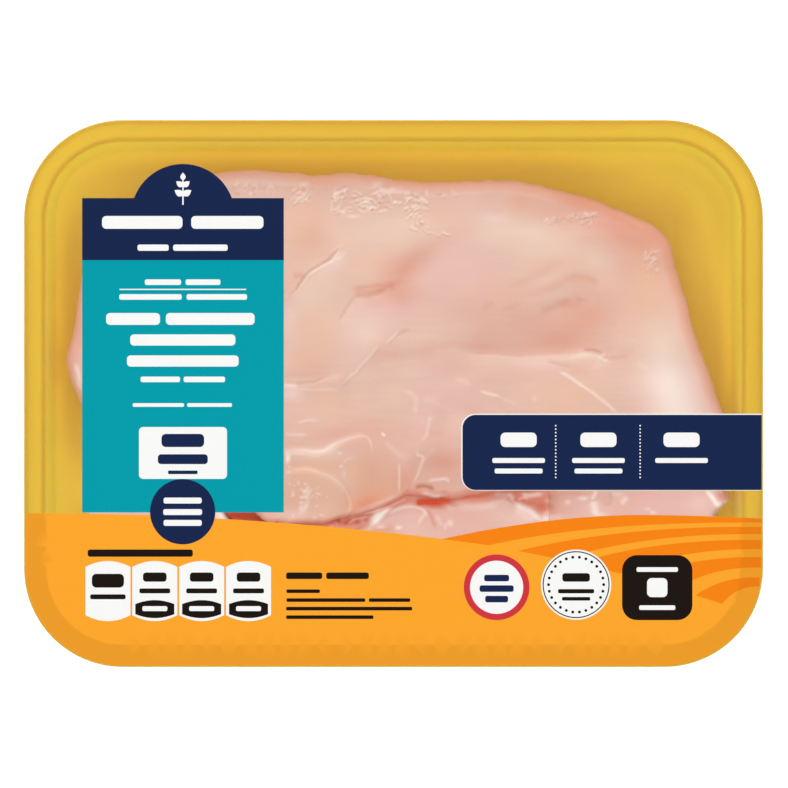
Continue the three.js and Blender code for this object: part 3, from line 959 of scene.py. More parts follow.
def top_zones(flesh):
    """Soft colour zones of the top piece, and the soft streaks of painted shade on its right."""
    spot = flesh.spot
    line = flesh.line

    # Soft zones along the back
    spot(-27, 51, 8, 12, peach=0.5)
    spot(-25, 47.5, 4.5, 5.5, blush=0.32)
    spot(-17, 48.5, 4, 5, cream=0.15, peach=0.15)
    spot(-2, 48.5, 12, 4.5, cream=0.5)
    spot(-8, 38, 7, 6, turn=35, peach=0.4, cream=0.2)
    spot(12, 45, 8, 2.2, turn=25, blush=0.2)
    spot(22, 57, 14, 5, rose=0.2, fat=0.1)
    spot(-2, 39, 5, 3, turn=20, blush=0.2)
    spot(15, 54.5, 6, 4, blush=0.15)
    spot(31, 53.6, 4, 1.2, fat=0.2, rose=0.4)
    spot(38.5, 58, 2.6, 3.2, blush=0.15, peach=0.3)
    spot(53, 52, 9, 3.5, turn=-12, blush=0.3, rose=0.1)
    spot(30, 48.5, 6, 3.5, cream=0.4)
    spot(41, 49, 10, 3.2, turn=-8, cream=0.8)
    spot(45, 43.5, 12, 3.8, turn=-4, cream=0.45)
    spot(62, 40.5, 5, 4, cream=0.45)
    spot(64.5, 35.5, 4, 4, cream=0.15)
    spot(16, 37, 10, 8, rose=0.45, fat=0.06)
    spot(41, 24, 9, 7, blush=0.16)
    spot(27, 40, 7, 9, rose=0.5, cream=0.1)
    spot(78, 37, 5, 7, peach=0.4)

    # Wide faint tints over the whole piece, a few of them faint painted shade
    spot(41, 58, 9, 4.5, turn=-5, blush=0.18, peach=0.25)
    spot(58, 59, 9, 3, turn=-14, blush=0.3)
    spot(70, 50, 12, 4.5, turn=-28, blush=0.2, crease=0.03)
    spot(76, 44.5, 7, 5, turn=-30, peach=0.5)
    spot(12, 53.5, 12, 4, peach=0.25)
    spot(49, 38, 9, 4, peach=0.25)
    spot(33, 30, 9, 5, peach=0.2, blush=0.06)
    spot(49, 22, 9, 6, blush=0.08)
    spot(45, 14, 22, 3.5, blush=0.08)
    spot(29, 5, 12, 4, blush=0.08)
    spot(82, 8, 11, 16, fat=0.1, peach=0.12)
    spot(86, 26, 4, 8, turn=15, peach=0.3, fat=0.08)
    spot(-28, 30, 5, 6, fat=0.08, cream=0.15)
    spot(1, 37, 7, 5, blush=0.12, peach=0.1)
    spot(2, 30, 7, 4, blush=0.1, crease=0.05)
    spot(-7, -10, 7, 4, blush=0.18)
    spot(1, -2, 7, 4, fat=0.05, salmon=0.06)
    spot(5, -18, 5, 5, fat=0.08)
    spot(20, -9, 5, 4, fat=0.1)
    spot(17, -26, 7, 3.5, blush=0.2)
    spot(-28, -31, 6, 7, blush=0.1, salmon=0.05)
    spot(-11, -34, 5, 3, turn=20, salmon=0.15)
    spot(-9.6, -33.9, 4, 1.6, turn=22, deep=0.12, blush=0.35)
    spot(-20, 64, 9, 1.6, blush=0.3)
    spot(66, 55, 9, 1.6, turn=-25, crease=0.07)
    spot(53, 60.5, 6, 2, turn=-14, crease=0.05)
    spot(80, 49, 3, 3, crease=0.05, blush=0.1)
    spot(88, 24, 2.4, 9, turn=15, salmon=0.12, peach=0.3)
    spot(95, 0, 2, 7, turn=17, salmon=0.1)

    # Soft brown streaks of painted shade on the right, with paler bands between them
    line([(35, 32.6), (41, 34.6), (46, 37.4), (53, 41.5)], 1.5, crease=0.09)
    line([(36, 30.2), (44, 31), (50, 33), (55, 35.2), (60, 35), (63, 32.5)], 1.3, crease=0.1)
    line([(52, 34.6), (56, 36), (60, 35.2), (63, 33)], 0.7, crease=0.07)
    spot(57.5, 34.2, 4.5, 2.2, crease=0.05, peach=0.3)
    spot(46, 34.6, 6, 1.5, turn=22, cream=0.25)
    spot(46, 29.2, 8, 1.8, turn=12, cream=0.2)
    line([(43.6, 23.6), (48, 26.1), (51, 27.2), (54.5, 28.1)], 1.2, crease=0.14, height=-0.15)
    line([(50, 26.2), (54, 27.6), (58, 28.2)], 1.8, blush=0.3)
    line([(55.8, 28.8), (57.5, 28.7), (59.4, 28.4)], 0.6, crease=0.16)
    line([(27.2, 25.4), (28.6, 27), (31, 28)], 0.9, crease=0.1)
    line([(32.5, 25.6), (36, 26.4), (39, 27.8)], 0.9, crease=0.09)
    line([(24, 16), (27, 18.4), (32, 19.6)], 1.4, crease=0.06)
    spot(27, 32.8, 2.5, 1.2, crease=0.05)


def top_ridge(flesh):
    """Hollow, ridge and white streaks on the right of the top piece."""
    spot = flesh.spot
    line = flesh.line

    # Pink hollow behind the ridge, its pink partly painted shade, and the bright bulge beside it
    spot(54, 20, 11, 6.5, turn=20, blush=0.34)
    spot(52, 14.8, 11, 2.6, blush=0.2)
    spot(60, 24, 7, 5, blush=0.3, peach=0.25)
    spot(38, 19, 9, 5, blush=0.2)
    spot(26, 14.4, 7, 1.8, blush=0.25, crease=0.03)
    spot(77, 29, 7, 9, peach=0.6)
    spot(83, 15, 6, 8, cream=0.7)
    spot(84, 2, 7.5, 9, turn=20, fat=0.6)
    spot(88, -7, 8, 6, fat=0.4)

    # Ridge on the right: pink above its edge, a painted shade, and pale below it, a painted light, for
    # light that falls from the back
    ridge = [(21, 12.6), (27, 12), (35, 11.5), (45, 11.5), (53, 12.2), (62, 12.9)]
    line([(15, 14), (35, 13), (60, 14), (68, 10)], 4.0, height=-1.4)
    flesh.flap(ridge, 0.45, 4, blush=0.22)
    flesh.flap(ridge[::-1], 0.45, 3.2, cream=0.5, height=0.25)
    spot(44, 8.6, 7, 1.8, rose=0.4, fat=0.12)
    line([(52, 10.2), (57, 11.2), (62, 11.2), (64.5, 10)], 1.3, cream=0.5, height=0.3)
    spot(60.5, 11.3, 3.6, 1.0, cream=0.6, height=0.2)
    line([(57.5, 12.9), (61.2, 13.1), (64, 12.4)], 0.5, crease=0.34, height=-0.2)
    line([(62.4, 11.8), (63.8, 10.4), (65.6, 9.6)], 0.45, fat=0.25, height=0.15)
    spot(64.7, 11, 0.8, 0.5, crease=0.25)
    line([(65, 10.4), (68, 10.9), (72.5, 11.2)], 0.7, blush=0.35)
    line([(68, 13.6), (71, 12.6), (74, 13)], 1.2, blush=0.2)
    line([(46, 9.6), (49, 9.2), (51.6, 8.4), (54.6, 7.8)], 0.7, crease=0.14, height=-0.15)
    spot(56, 7.4, 4, 1.4, turn=-20, blush=0.25)
    line([(74, 10), (76, 8.2), (78, 6.8)], 0.6, cream=0.35)

    # White streaks of connective tissue
    line([(50.2, 6.7), (53, 5.2), (56, 3.3), (60, 0.4)], 0.5, fat=0.5, height=0.25)
    line([(56.5, 2.8), (62, -1), (65, -3.5), (69, -6.8)], 0.5, fat=0.4, height=0.15)
    line([(42.4, -0.6), (43.4, -2.5)], 0.5, fat=0.25)
    line([(25.8, 1.1), (29, 0), (32.8, -1.3)], 0.45, fat=0.5, height=0.15)
    line([(31.5, -0.8), (38.5, -3.8)], 0.4, fat=0.15)
    line([(18.6, 4.3), (21, 3.8), (24, 2.9)], 0.8, fat=0.22, rose=0.2)

    # Zones in front of the ridge
    spot(52, -1, 12, 5.5, peach=0.5)
    spot(37, 6, 12, 3, rose=0.25, blush=0.08)
    spot(24, -3, 5, 3, rose=0.4)
    spot(24, -4.8, 3.5, 1.2, blush=0.25)
    spot(14, 7, 6, 2.4, rose=0.4, crease=0.03)
    spot(21, 9, 5, 2, blush=0.12)
    spot(18, 2.5, 7, 2.2, rose=0.3, cream=0.2)
    spot(6, 6.4, 5, 1.8, cream=0.3)
    spot(14, -3, 6, 3, turn=-20, rose=0.4)
    spot(12, -11, 7, 4, rose=0.35, fat=0.06)
    line([(8, -1), (12, -2.6), (19, -5.6)], 0.8, cream=0.25)


def top_flaps(flesh):
    """Flaps, pocket and seams on the left and in the middle of the top piece."""
    spot = flesh.spot
    line = flesh.line

    # Long flap across the back left: a painted highlight along its edge, over a dark crease of painted
    # shade
    upper = [(-34, 28.5), (-30.5, 31.6), (-28.4, 34.4), (-26.8, 36.4), (-24.6, 38.2)]
    upper += [(-22.4, 39.4), (-20, 41), (-17.6, 43.5), (-15.6, 45.8)]
    flesh.flap(upper[::-1], 1.0, 12, height=1.5)
    spot(-22, 33.5, 9, 7, turn=40, cream=0.4)
    spot(-18.5, 39.4, 5, 1.8, turn=33, fat=0.2, rose=0.35)
    spot(-31.5, 23, 2.5, 9, rose=0.35, fat=0.12)
    line(upper, 0.6, crease=0.26, height=-0.4)
    line([(-27.4, 35.2), (-24.2, 37.7), (-21, 39.2), (-17.5, 41), (-14, 43.1)], 0.5, fat=0.4,
         height=0.2)
    line([(-19.8, 40.9), (-17, 42.4), (-14.8, 43.4)], 0.4, fat=0.25)
    line([(-31.2, 35.8), (-29, 36.1), (-26.8, 36.2)], 0.9, blush=0.5, crease=0.08)
    spot(-31.5, 33, 4, 2, turn=50, blush=0.4)

    # Pocket in the middle, pink inside, and the blush behind it; painted shade in its creases
    line([(-18, 21), (-11, 31), (-3, 31.5), (6, 37), (16, 45)], 4.5, height=-1.0)
    line([(-13.4, 31.4), (-10, 31.4), (-6, 31.9), (-2, 32.6), (2, 34)], 1.5, blush=0.6, height=-0.3)
    line([(-12.4, 29.8), (-10, 29.7), (-6.5, 30.3), (-3.4, 31.5), (-1.4, 32.7)], 0.75, crease=0.2,
         height=-0.4)
    line([(-13, 32.3), (-7, 32.8), (-2.5, 33.5)], 0.45, crease=0.1)
    line([(-9, 31.6), (-6, 32), (-2.4, 32.2), (0, 31.8)], 0.4, fat=0.1, height=0.1)
    line([(-1.6, 33), (1, 34), (3.6, 34.6)], 0.9, crease=0.08)
    spot(5, 38.6, 8, 4, turn=38, blush=0.55)
    spot(1, 30, 8, 3.5, turn=10, blush=0.3, crease=0.04)
    spot(1, 26.6, 8, 2.5, rose=0.6)
    line([(-11.2, 30), (-13, 27.6), (-14.8, 25), (-17.4, 21)], 0.55, crease=0.15, height=-0.2)
    spot(-9, 19, 6.5, 8, turn=-25, cream=0.3, rose=0.15, fat=0.15)
    spot(-24, 18, 7, 8, peach=0.5)
    spot(27, 23, 8, 7, blush=0.2)

    # Long seam that falls to the front left, with its small crease of painted shade
    seam = [(-17.4, 0.8), (-15, 3.4), (-13, 5.3), (-11.4, 6.6), (-9.8, 8.7), (-8, 10.6)]
    seam += [(-6.4, 12.5), (-5, 14.5), (-3.4, 16.4)]
    flesh.flap(seam, 1.6, 11, height=0.7)
    line(seam, 0.42, peach=0.4, fat=0.3, height=0.12)
    line([(-1.6, 14.7), (0.2, 17.1), (2, 18.5)], 0.45, crease=0.2, height=-0.2)
    line([(-2, 15.3), (-0.3, 17.3), (1.5, 19)], 0.4, fat=0.35)
    line([(1.4, 18.2), (2.8, 18.8), (5, 19.6)], 0.6, crease=0.15, height=-0.2)
    spot(-5, 11.5, 3.4, 2.4, turn=50, crease=0.06, blush=0.15)
    spot(-0.5, 12.4, 4, 1.8, crease=0.06, blush=0.15)
    spot(11, 13.6, 5, 1.7, turn=15, crease=0.05, blush=0.15)
    line([(-6.5, 8.8), (0, 9.3), (5, 9.7), (9, 10.3)], 0.6, cream=0.3)
    spot(7, 16.4, 7, 2.4, turn=12, cream=0.3, rose=0.2, height=0.3)

    # Front edge of the left bulge, with painted shade at its foot, and the thin lines in front of it
    flesh.flap([(-14, 4.5), (-20, 4.8), (-26, 3.4), (-34, 3.2)], 1.8, 10, height=0.9)
    spot(-26, 6.3, 8, 2.3, crease=0.12)
    spot(-27, 10, 8, 3, crease=0.05, peach=0.3)
    line([(-35, 2.8), (-30, 2.9), (-27, 3.3), (-24, 3.7), (-19, 5.5)], 0.5, crease=0.18, height=-0.3)
    line([(-35, 2), (-32, 2.2), (-29, 2.4)], 0.8, fat=0.35, rose=0.3)
    line([(-32, 1.2), (-25, 1.1), (-21, 0.9), (-16, 0.8)], 0.4, fat=0.2)
    spot(-31, -0.3, 3, 2, fat=0.3, rose=0.4)
    spot(-20, -3, 7, 4, peach=0.4)

    # Bulge in the middle with a pale right edge, and the broken white line below it
    spot(0, -2, 5, 3.5, cream=0.2, peach=0.2, height=0.5)
    line([(1, 1.5), (4.5, 0.3), (6.2, -1), (6.8, -2.6), (6.4, -4.6), (6.4, -7)], 0.8, cream=0.45,
         fat=0.08, height=0.2)
    line([(11.2, -6.8), (10.6, -10), (10, -13), (8, -15.2)], 0.5, fat=0.22, height=0.15)
    spot(11, -7.6, 0.8, 0.6, fat=0.25)
    line([(7.6, -16.6), (7.4, -19), (8.8, -19.4), (8.4, -22), (7.4, -25), (5.2, -29)], 0.45, fat=0.34,
         height=0.15)
    line([(9, -21), (10.4, -19), (13, -16.5)], 0.5, fat=0.12)
    line([(1.9, -20.5), (1.6, -25), (1.7, -31)], 0.4, fat=0.36, height=0.15)
    line([(-3.8, -11.8), (-2.5, -13)], 0.45, fat=0.6, height=0.2)
    line([(-3.5, -14), (0, -17), (3.4, -20.2)], 0.7, fat=0.16)
    spot(3.5, -19.4, 1.6, 1.2, fat=0.12, rose=0.3)
    spot(15.5, -21, 6, 3, turn=-4, blush=0.55)
    spot(17, -13, 4, 4, peach=0.2, rose=0.2)
    line([(8, -11), (12, -12), (15, -12.2)], 0.8, blush=0.2)
    spot(3.5, -27, 4, 5, blush=0.5)
    spot(7, -20, 5, 6, blush=0.12)
    spot(-22, -28, 15, 10, cream=0.2, peach=0.3)

    # Low flap over the front left, with a pale edge
    brow = [(-35, -17), (-29, -17.2), (-26, -17.6), (-22, -17.6), (-18, -15.6), (-12, -13.3)]
    brow += [(-9.6, -12.8), (-8, -13.2), (-7.1, -14.8), (-6.9, -17), (-6.4, -19.5)]
    flesh.flap(brow[::-1], 1.6, 9, height=1.1)
    line(brow, 0.42, fat=0.32, height=0.2)
    line([(-36, -17.6), (-29, -18), (-25, -18.3), (-20, -17.2), (-14, -14.8)], 1.1, fat=0.26, cream=0.3)
    spot(-18, -12, 8, 2.2, turn=15, blush=0.22, rose=0.25)
    spot(-24, -19.4, 9, 1.6, turn=5, cream=0.3)
    spot(-23, -22.6, 9, 2.2, peach=0.5, blush=0.15)
    spot(-32.6, -19.6, 0.7, 1.5, fat=0.9, height=0.2)
    line([(-30, -9.2), (-27, -8.3), (-25.5, -8), (-22.5, -8.4)], 0.5, fat=0.3, height=0.15)
    line([(-33.5, -12.2), (-30, -12.5), (-25.5, -13.1)], 0.6, fat=0.25, height=0.15)
    for x, y, size in ((-31.8, -22.4, 0.4), (-32, -24, 0.4), (-16.6, -18.2, 0.6), (-16, -22, 0.7)):
        spot(x, y, size, 0.7 * size, fat=0.45, height=0.2)
    line([(-15.4, -21.2), (-14, -19.8), (-11.4, -19.2)], 0.4, fat=0.25)
    line([(-15.2, -23), (-15.5, -26)], 0.5, fat=0.22)


def top_front(flesh):
    """Tongue and torn edge along the front of the top piece."""
    spot = flesh.spot
    line = flesh.line

    # Warm zone beside the tongue
    spot(-6, -26, 6.5, 8, blush=0.4, peach=0.6)
    spot(-3, -31.5, 8, 3.2, turn=20, peach=0.5, deep=0.1)
    spot(-9.5, -33, 4.5, 3, turn=15, peach=0.6, deep=0.1)
    spot(-11.5, -25, 3, 5, peach=0.4)

    # Tongue at the front, rounded, with specks of fat in its middle
    tongue = [(-34, -23.5), (-28, -23.1), (-25, -23.4), (-22, -24.2), (-19, -25.5), (-16.5, -27.3)]
    tongue += [(-14.5, -29.5), (-13.3, -31.7), (-12.9, -33.7), (-13.4, -35.8), (-15, -37.6)]
    tongue += [(-18.5, -39)]
    flesh.flap(tongue[::-1], 1.4, 9, height=1.4, peach=0.2)
    line(tongue, 0.42, fat=0.22, peach=0.3, height=0.15)
    spot(-24, -30, 9, 6, turn=-30, peach=0.25)
    spot(-30.5, -31.5, 2.5, 2.5, rose=0.5)
    spot(-31, -37, 4, 1.5, fat=0.2, rose=0.4)
    line([(-26.4, -28.5), (-26.3, -31), (-26.2, -33), (-27.6, -36.2)], 0.7, fat=0.3, height=0.2)
    spot(-27.6, -35.2, 1.2, 1.6, turn=-30, fat=0.3, cream=0.3)
    specks = np.random.default_rng(4)
    for _ in range(30):
        x, y = specks.normal((-26.2, -31.2), (2.8, 3.2))
        size, turn = specks.uniform((0.35, 0), (0.8, 180))
        spot(x, y, size, 0.55 * size, turn, fat=0.4, height=0.12)

    # Front edge: a thin pale lip, a red line of painted shade at the left, and a small cavity of painted
    # shade with a wet fold
    line([(-14, -37.2), (-10, -35.8), (-6, -34.4), (-1, -32.4), (4, -30.4)], 0.6, fat=0.35, salmon=0.4)
    line([(-34, -39.8), (-28, -40.2), (-20, -39.8), (-15, -38.2)], 0.7, crease=0.4)
    line([(6.5, -29.4), (8, -28.5), (9.6, -28.2), (11.5, -28.8), (13, -29.6)], 0.7, crease=0.5, height=-0.6)
    # The lip's roll is painted warmer and brighter against its shade, and its very edge gets orange red
    # painted shade
    front = smooth_step(-24, -30, flesh.y) * smooth_step(-38, -26, flesh.x)
    flesh.layers["peach"] += 0.5 * front * smooth_step(3.5, 1.0, flesh.depth)
    flesh.layers["salmon"] += 0.4 * front * smooth_step(2.2, 0.6, flesh.depth)
    flesh.layers["deep"] += 0.3 * front * smooth_step(1.7, 0.3, flesh.depth)
    flesh.layers["height"] -= 0.9 * front * smooth_step(2.6, 0.5, flesh.depth)
    line([(8.5, -29.9), (10.5, -30.6), (13, -31.1), (17, -31)], 0.5, fat=0.8, height=0.3)
    line([(10, -26.6), (13, -26.3), (16.2, -26.2), (17.3, -27.6)], 0.5, fat=0.42, height=0.2)
    spot(5.5, -26, 2.5, 2.5, rose=0.3)
    spot(12, -30, 5, 1.4, rose=0.4, blush=0.2)


def top_skin(flesh):
    """Thin crinkled skin along the back of the top piece."""
    spot = flesh.spot
    line = flesh.line

    # Short folds, strewn over each patch
    crinkles(flesh, (
        (-42, 62.8, 6, 1.2, 12, 2.4, 30),
        (-28.0, 60.2, 2.2, 2.2, 14, 2.2, 50),
        (-26.2, 63.4, 1.4, 0.7, 5, 1.6, 40),
        (-16.6, 59.2, 2.2, 3.0, 22, 1.8, 60),
        (-16.0, 55.6, 1.8, 0.8, 5, 1.6, 20),
        (-8.4, 58.2, 5, 2.6, 22, 2.8, 5),
        (-2.6, 59.4, 2.4, 2.4, 14, 2.0, -40),
        (0.8, 58.5, 1.6, 0.6, 6, 1.4, 10),
        (7, 58.6, 3.6, 2.8, 60, 1.2, 50),
        (6, 54.4, 2.6, 1.6, 16, 1.2, 30),
        (8, 50.8, 3, 1.4, 12, 1.4, -20),
        (15.4, 60.8, 3.4, 0.9, 8, 1.6, 0),
        (13.6, 48.6, 3, 0.8, 5, 1.8, 0),
        (48.5, 52.6, 4, 1, 6, 1.6, 60),
        (57.4, 53.4, 4.4, 1.6, 14, 1.6, 60),
        (78.6, 40.2, 2.2, 3.2, 16, 2.2, 70),
    ), 31)
    # Longer folds, each at its place
    folds = (
        ((-13.2, 57.6), (-11.4, 58.8), (-9, 59.6), (-6.6, 59.4), (-4.8, 58.2), (-3.8, 56.8)),
        ((-11.6, 56.4), (-10, 57.8), (-7.6, 58.2), (-6, 57.2), (-5.4, 56.2)),
        ((-11, 56.6), (-9.4, 55.6), (-7.6, 55.4), (-6.2, 55.2)),
        ((-9.8, 57), (-8.8, 57.2), (-7.6, 56.6)),
        ((-7.6, 60.4), (-5.6, 61.1), (-4.2, 62), (-1.6, 62.3), (1, 61.4)),
        ((-19, 59.6), (-18.7, 57.4), (-18.9, 55)),
        ((-17.8, 61), (-15.8, 61.5), (-14.4, 62.4)),
        ((-4.8, 55.2), (-3, 55.9), (-1.4, 56.5)),
        ((-0.2, 58.2), (1.2, 58.5), (2.4, 58)),
        ((-29.4, 59), (-28.2, 60.2), (-26.4, 61.2)),
        ((-29.8, 60.8), (-28.4, 61.4), (-27.2, 60.8)),
        ((-28.8, 58.2), (-27.6, 58.8), (-25.8, 59.2)),
        ((-17.4, 59.6), (-16, 60), (-14.8, 59.2)),
        ((4.6, 60.2), (6.4, 59.4), (8.2, 58.6)),
        ((7.2, 60.7), (8.6, 59.8), (10.2, 59.2)),
        ((5.2, 57.6), (6.6, 57.3), (8.2, 56.2)),
        ((3.4, 53.4), (4.8, 53.9), (5.6, 55.1)),
    )
    for fold in folds:
        # A pale crest along each fold, a painted highlight, and painted shade just beside it
        line(fold, 0.42, fat=0.3, peach=0.35, height=0.22)
        line(np.array(fold) + (0.2, 0.75), 0.42, crease=0.14, height=-0.15)
    spot(-15.2, 55.4, 0.8, 0.6, fat=0.5, height=0.2)
    spot(-4.8, 63.6, 1.8, 0.8, turn=30, fat=0.35, rose=0.5)
    spot(0.5, 61.7, 2.6, 0.7, fat=0.45, rose=0.4)
    spot(-12.2, 54.0, 2.2, 0.6, fat=0.35, rose=0.4)


def shape_top_breast(flesh):
    """The broad top fillet, part by part."""
    top_forms(flesh)
    top_zones(flesh)
    top_ridge(flesh)
    top_flaps(flesh)
    top_front(flesh)
    top_skin(flesh)


def top_breast_height(x, y):
    droop = back_droop * smooth_step(38, 68, y) + side_droop * smooth_step(80, 103, np.abs(x))
    droop += front_droop * smooth_step(-16, -37, y)
    return top_slice_top - droop + unevenness(x, y, 0.4)


def top_breast_underside(x, y):
    """On the floor at the back, and over the lower pieces at the front."""
    over_pieces = (top_slice_lap - rest_height) * smooth_step(-2, -12.5, y)
    return rest_height + over_pieces - 0.8 * smooth_step(-26, -33, y)


def shape_middle_breast(flesh):
    """Pale wet piece in the middle of the front row, with a lower shelf behind it and beside it."""
    spot = flesh.spot
    line = flesh.line
    step = [(45, -68), (46, -50), (45.8, -41), (44.6, -38.2), (41.5, -35.9), (39, -34.4)]
    step += [(36.5, -33), (34, -32), (29, -32.8), (22, -33.2), (16, -34.4), (9, -34.2), (3, -33.7)]
    step += [(-2, -35.2), (-6, -38), (-9, -41), (-20, -46), (-36, -56)]
    flesh.layers["height"] -= shelf_drop
    flesh.terrace(step, 1.3, height=shelf_drop)
    spot(22, -43, 22, 7, height=1.2)

    # Orange tissue on the shelf, which climbs to the top piece's edge, and orange red painted shade in the
    # gaps and under that edge
    flesh.terrace(step[::-1], 0.9, salmon=0.15, blush=0.6, deep=0.12, crease=0.08)
    line([(-16, -36.4), (-8, -35.2), (0, -32.4), (8, -30.3), (20, -29.8), (40, -28)], 2.6, height=2.9)
    line([(-54, -36), (-40, -37.5), (-30, -39.5), (-18, -39.5), (-12, -38)], 4.0, deep=0.4)
    line([(-56, -36.6), (-46, -37.4), (-38, -38.6), (-26, -40)], 2.4, crease=1.0, height=-0.6)
    line([(-19, -39.4), (-14, -38.6), (-9, -37.6)], 1.0, crease=0.2)
    line([(-12, -38.2), (-7, -37.4), (-3, -35.8)], 0.6, crease=0.15)
    line([(6.6, -33.4), (8, -33.2), (11, -33), (15, -33), (18.4, -32.8)], 0.8, deep=1.1, crease=0.3,
         height=-1.1)
    spot(12.2, -33.4, 2.4, 0.7, deep=0.5, height=-0.3)
    line([(17, -32.6), (21, -31.8), (25, -31.2), (28, -31), (31, -31.2)], 0.9, deep=0.45, crease=0.1)
    spot(12, -35, 6, 0.9, blush=0.3)
    spot(-5, -36, 1.6, 0.8, turn=30, rose=0.6, fat=0.2)
    spot(38, -32.2, 2.2, 1.4, turn=-35, deep=0.2, crease=0.12)
    spot(43, -34.2, 5, 3.4, turn=-20, crease=0.26, deep=0.16)
    spot(40.5, -33.4, 1.6, 0.8, turn=-20, crease=0.2)
    spot(45, -34.6, 1.2, 1.2, crease=0.2, deep=0.1)
    line([(37.6, -32.6), (39.4, -31.8), (41.4, -32.2)], 0.4, fat=0.35, height=0.15)
    spot(46.2, -38.3, 1.8, 1.5, cream=0.6, fat=0.8)
    spot(46.6, -32.6, 0.8, 0.7, fat=0.25)
    spot(47, -36.2, 0.8, 0.8, fat=0.3)
    line([(-15, -38.6), (-9, -37), (-4, -35), (1, -33), (6, -31.4)], 1.7, deep=0.22)
    line([(17, -33.9), (22, -33.6), (28, -33.3), (34, -32.8)], 0.9, fat=0.35, salmon=0.2)
    spot(-12.6, -38.1, 1.8, 0.7, turn=20, deep=0.2, crease=0.3)
    spot(-3, -41.4, 4, 1.1, blush=0.6, deep=0.06)
    spot(-18.5, -41, 4, 1.0, salmon=0.9, fat=0.25)
    line([(30.6, -30.5), (33, -31), (35.6, -31.6)], 1.2, rose=0.6, fat=0.35, height=0.4)
    for x, y in ((-17.4, -39.4), (-15.6, -38.4), (-12.2, -38.2), (-9.6, -38.8), (-19, -40.2)):
        spot(x, y, 0.7, 0.6, rose=0.8, fat=0.15, height=0.4)

    # Crumpled strands along the shelf's front left, each with painted shade just below it
    strands = (
        ((-15, -38.6), (-12, -37.2), (-9.6, -36.7), (-7, -36.3), (-4.4, -35.4), (-1.6, -34.5)),
        ((-13.6, -39.6), (-11.8, -38.4), (-9.4, -38), (-7.8, -37.4)),
        ((-1, -34.2), (1.4, -33.2), (4.2, -32.2)),
    )
    for strand in strands:
        line(strand, 0.42, fat=0.28, salmon=0.3, height=0.3)
        line(np.array(strand) - (0, 0.7), 0.45, crease=0.3, height=-0.2)
    for x, y in ((-16.6, -38.9), (-14.4, -39.4), (-8.4, -38.8), (-10.9, -39.4)):
        spot(x, y, 0.9, 0.6, crease=0.5)

    # White fold at the left end, and the crumpled edge beside it
    spot(-5.5, -38.2, 2.3, 1.2, turn=42, fat=1.4, height=0.5)
    spot(-2.9, -36, 2.2, 0.6, turn=38, fat=0.8, height=0.3)
    line([(-4.4, -39.8), (-3.4, -38.6), (-1.2, -36.8)], 0.4, crease=0.15, height=-0.2)
    line([(-2.6, -37.6), (-0.4, -36.2), (2, -35.1), (5, -34.6), (8, -34.9), (9.6, -36), (11, -38)], 0.5,
         fat=0.45, height=0.2)
    line([(9.8, -35), (11.2, -36.6), (12.4, -38.8), (13.4, -41.4)], 0.55, blush=0.6, crease=0.1)
    line([(7.6, -40.4), (8.4, -38.6), (9.6, -37), (10.6, -36)], 0.5, fat=0.35, height=0.2)
    line([(13, -36.6), (14.4, -38.8), (15, -40.4)], 0.5, fat=0.25, height=0.15)
    spot(3, -37.4, 5, 2, turn=15, rose=0.6, fat=0.1)
    spot(5.5, -41, 3.5, 2.4, cream=0.3, rose=0.3)
    spot(1.5, -41.2, 1.1, 0.6, fat=0.7, height=0.2)
    spot(-4, -40.8, 1.3, 0.5, fat=0.6)
    spot(17.6, -39.4, 0.9, 1.0, fat=0.5, height=0.15)
    spot(16, -40.4, 0.5, 0.9, fat=0.4)
    spot(18, -38.5, 18, 5, rose=0.6, blush=0.25, fat=0.06)
    spot(37, -38, 8, 3.5, turn=-20, fat=0.18)
    line([(36.5, -34.4), (40, -36.6), (43.4, -38.8)], 1.7, fat=0.35)
    line([(18.4, -35.4), (26, -35), (33, -34.4)], 0.9, fat=0.2)
    spot(16.6, -34.6, 1.8, 0.6, turn=-25, fat=0.35)
    line([(35.2, -30.2), (35.7, -31.4), (36.6, -33)], 0.6, fat=0.6, height=0.2)
    line([(35.8, -32.6), (38.6, -34.2), (41.5, -35.6), (43.4, -37.2), (45.4, -39.2)], 0.8, fat=0.9,
         height=0.3)
    line([(38.4, -30.4), (41, -31), (43, -30.7), (46, -30)], 0.8, rose=0.5, fat=0.6, height=0.4)


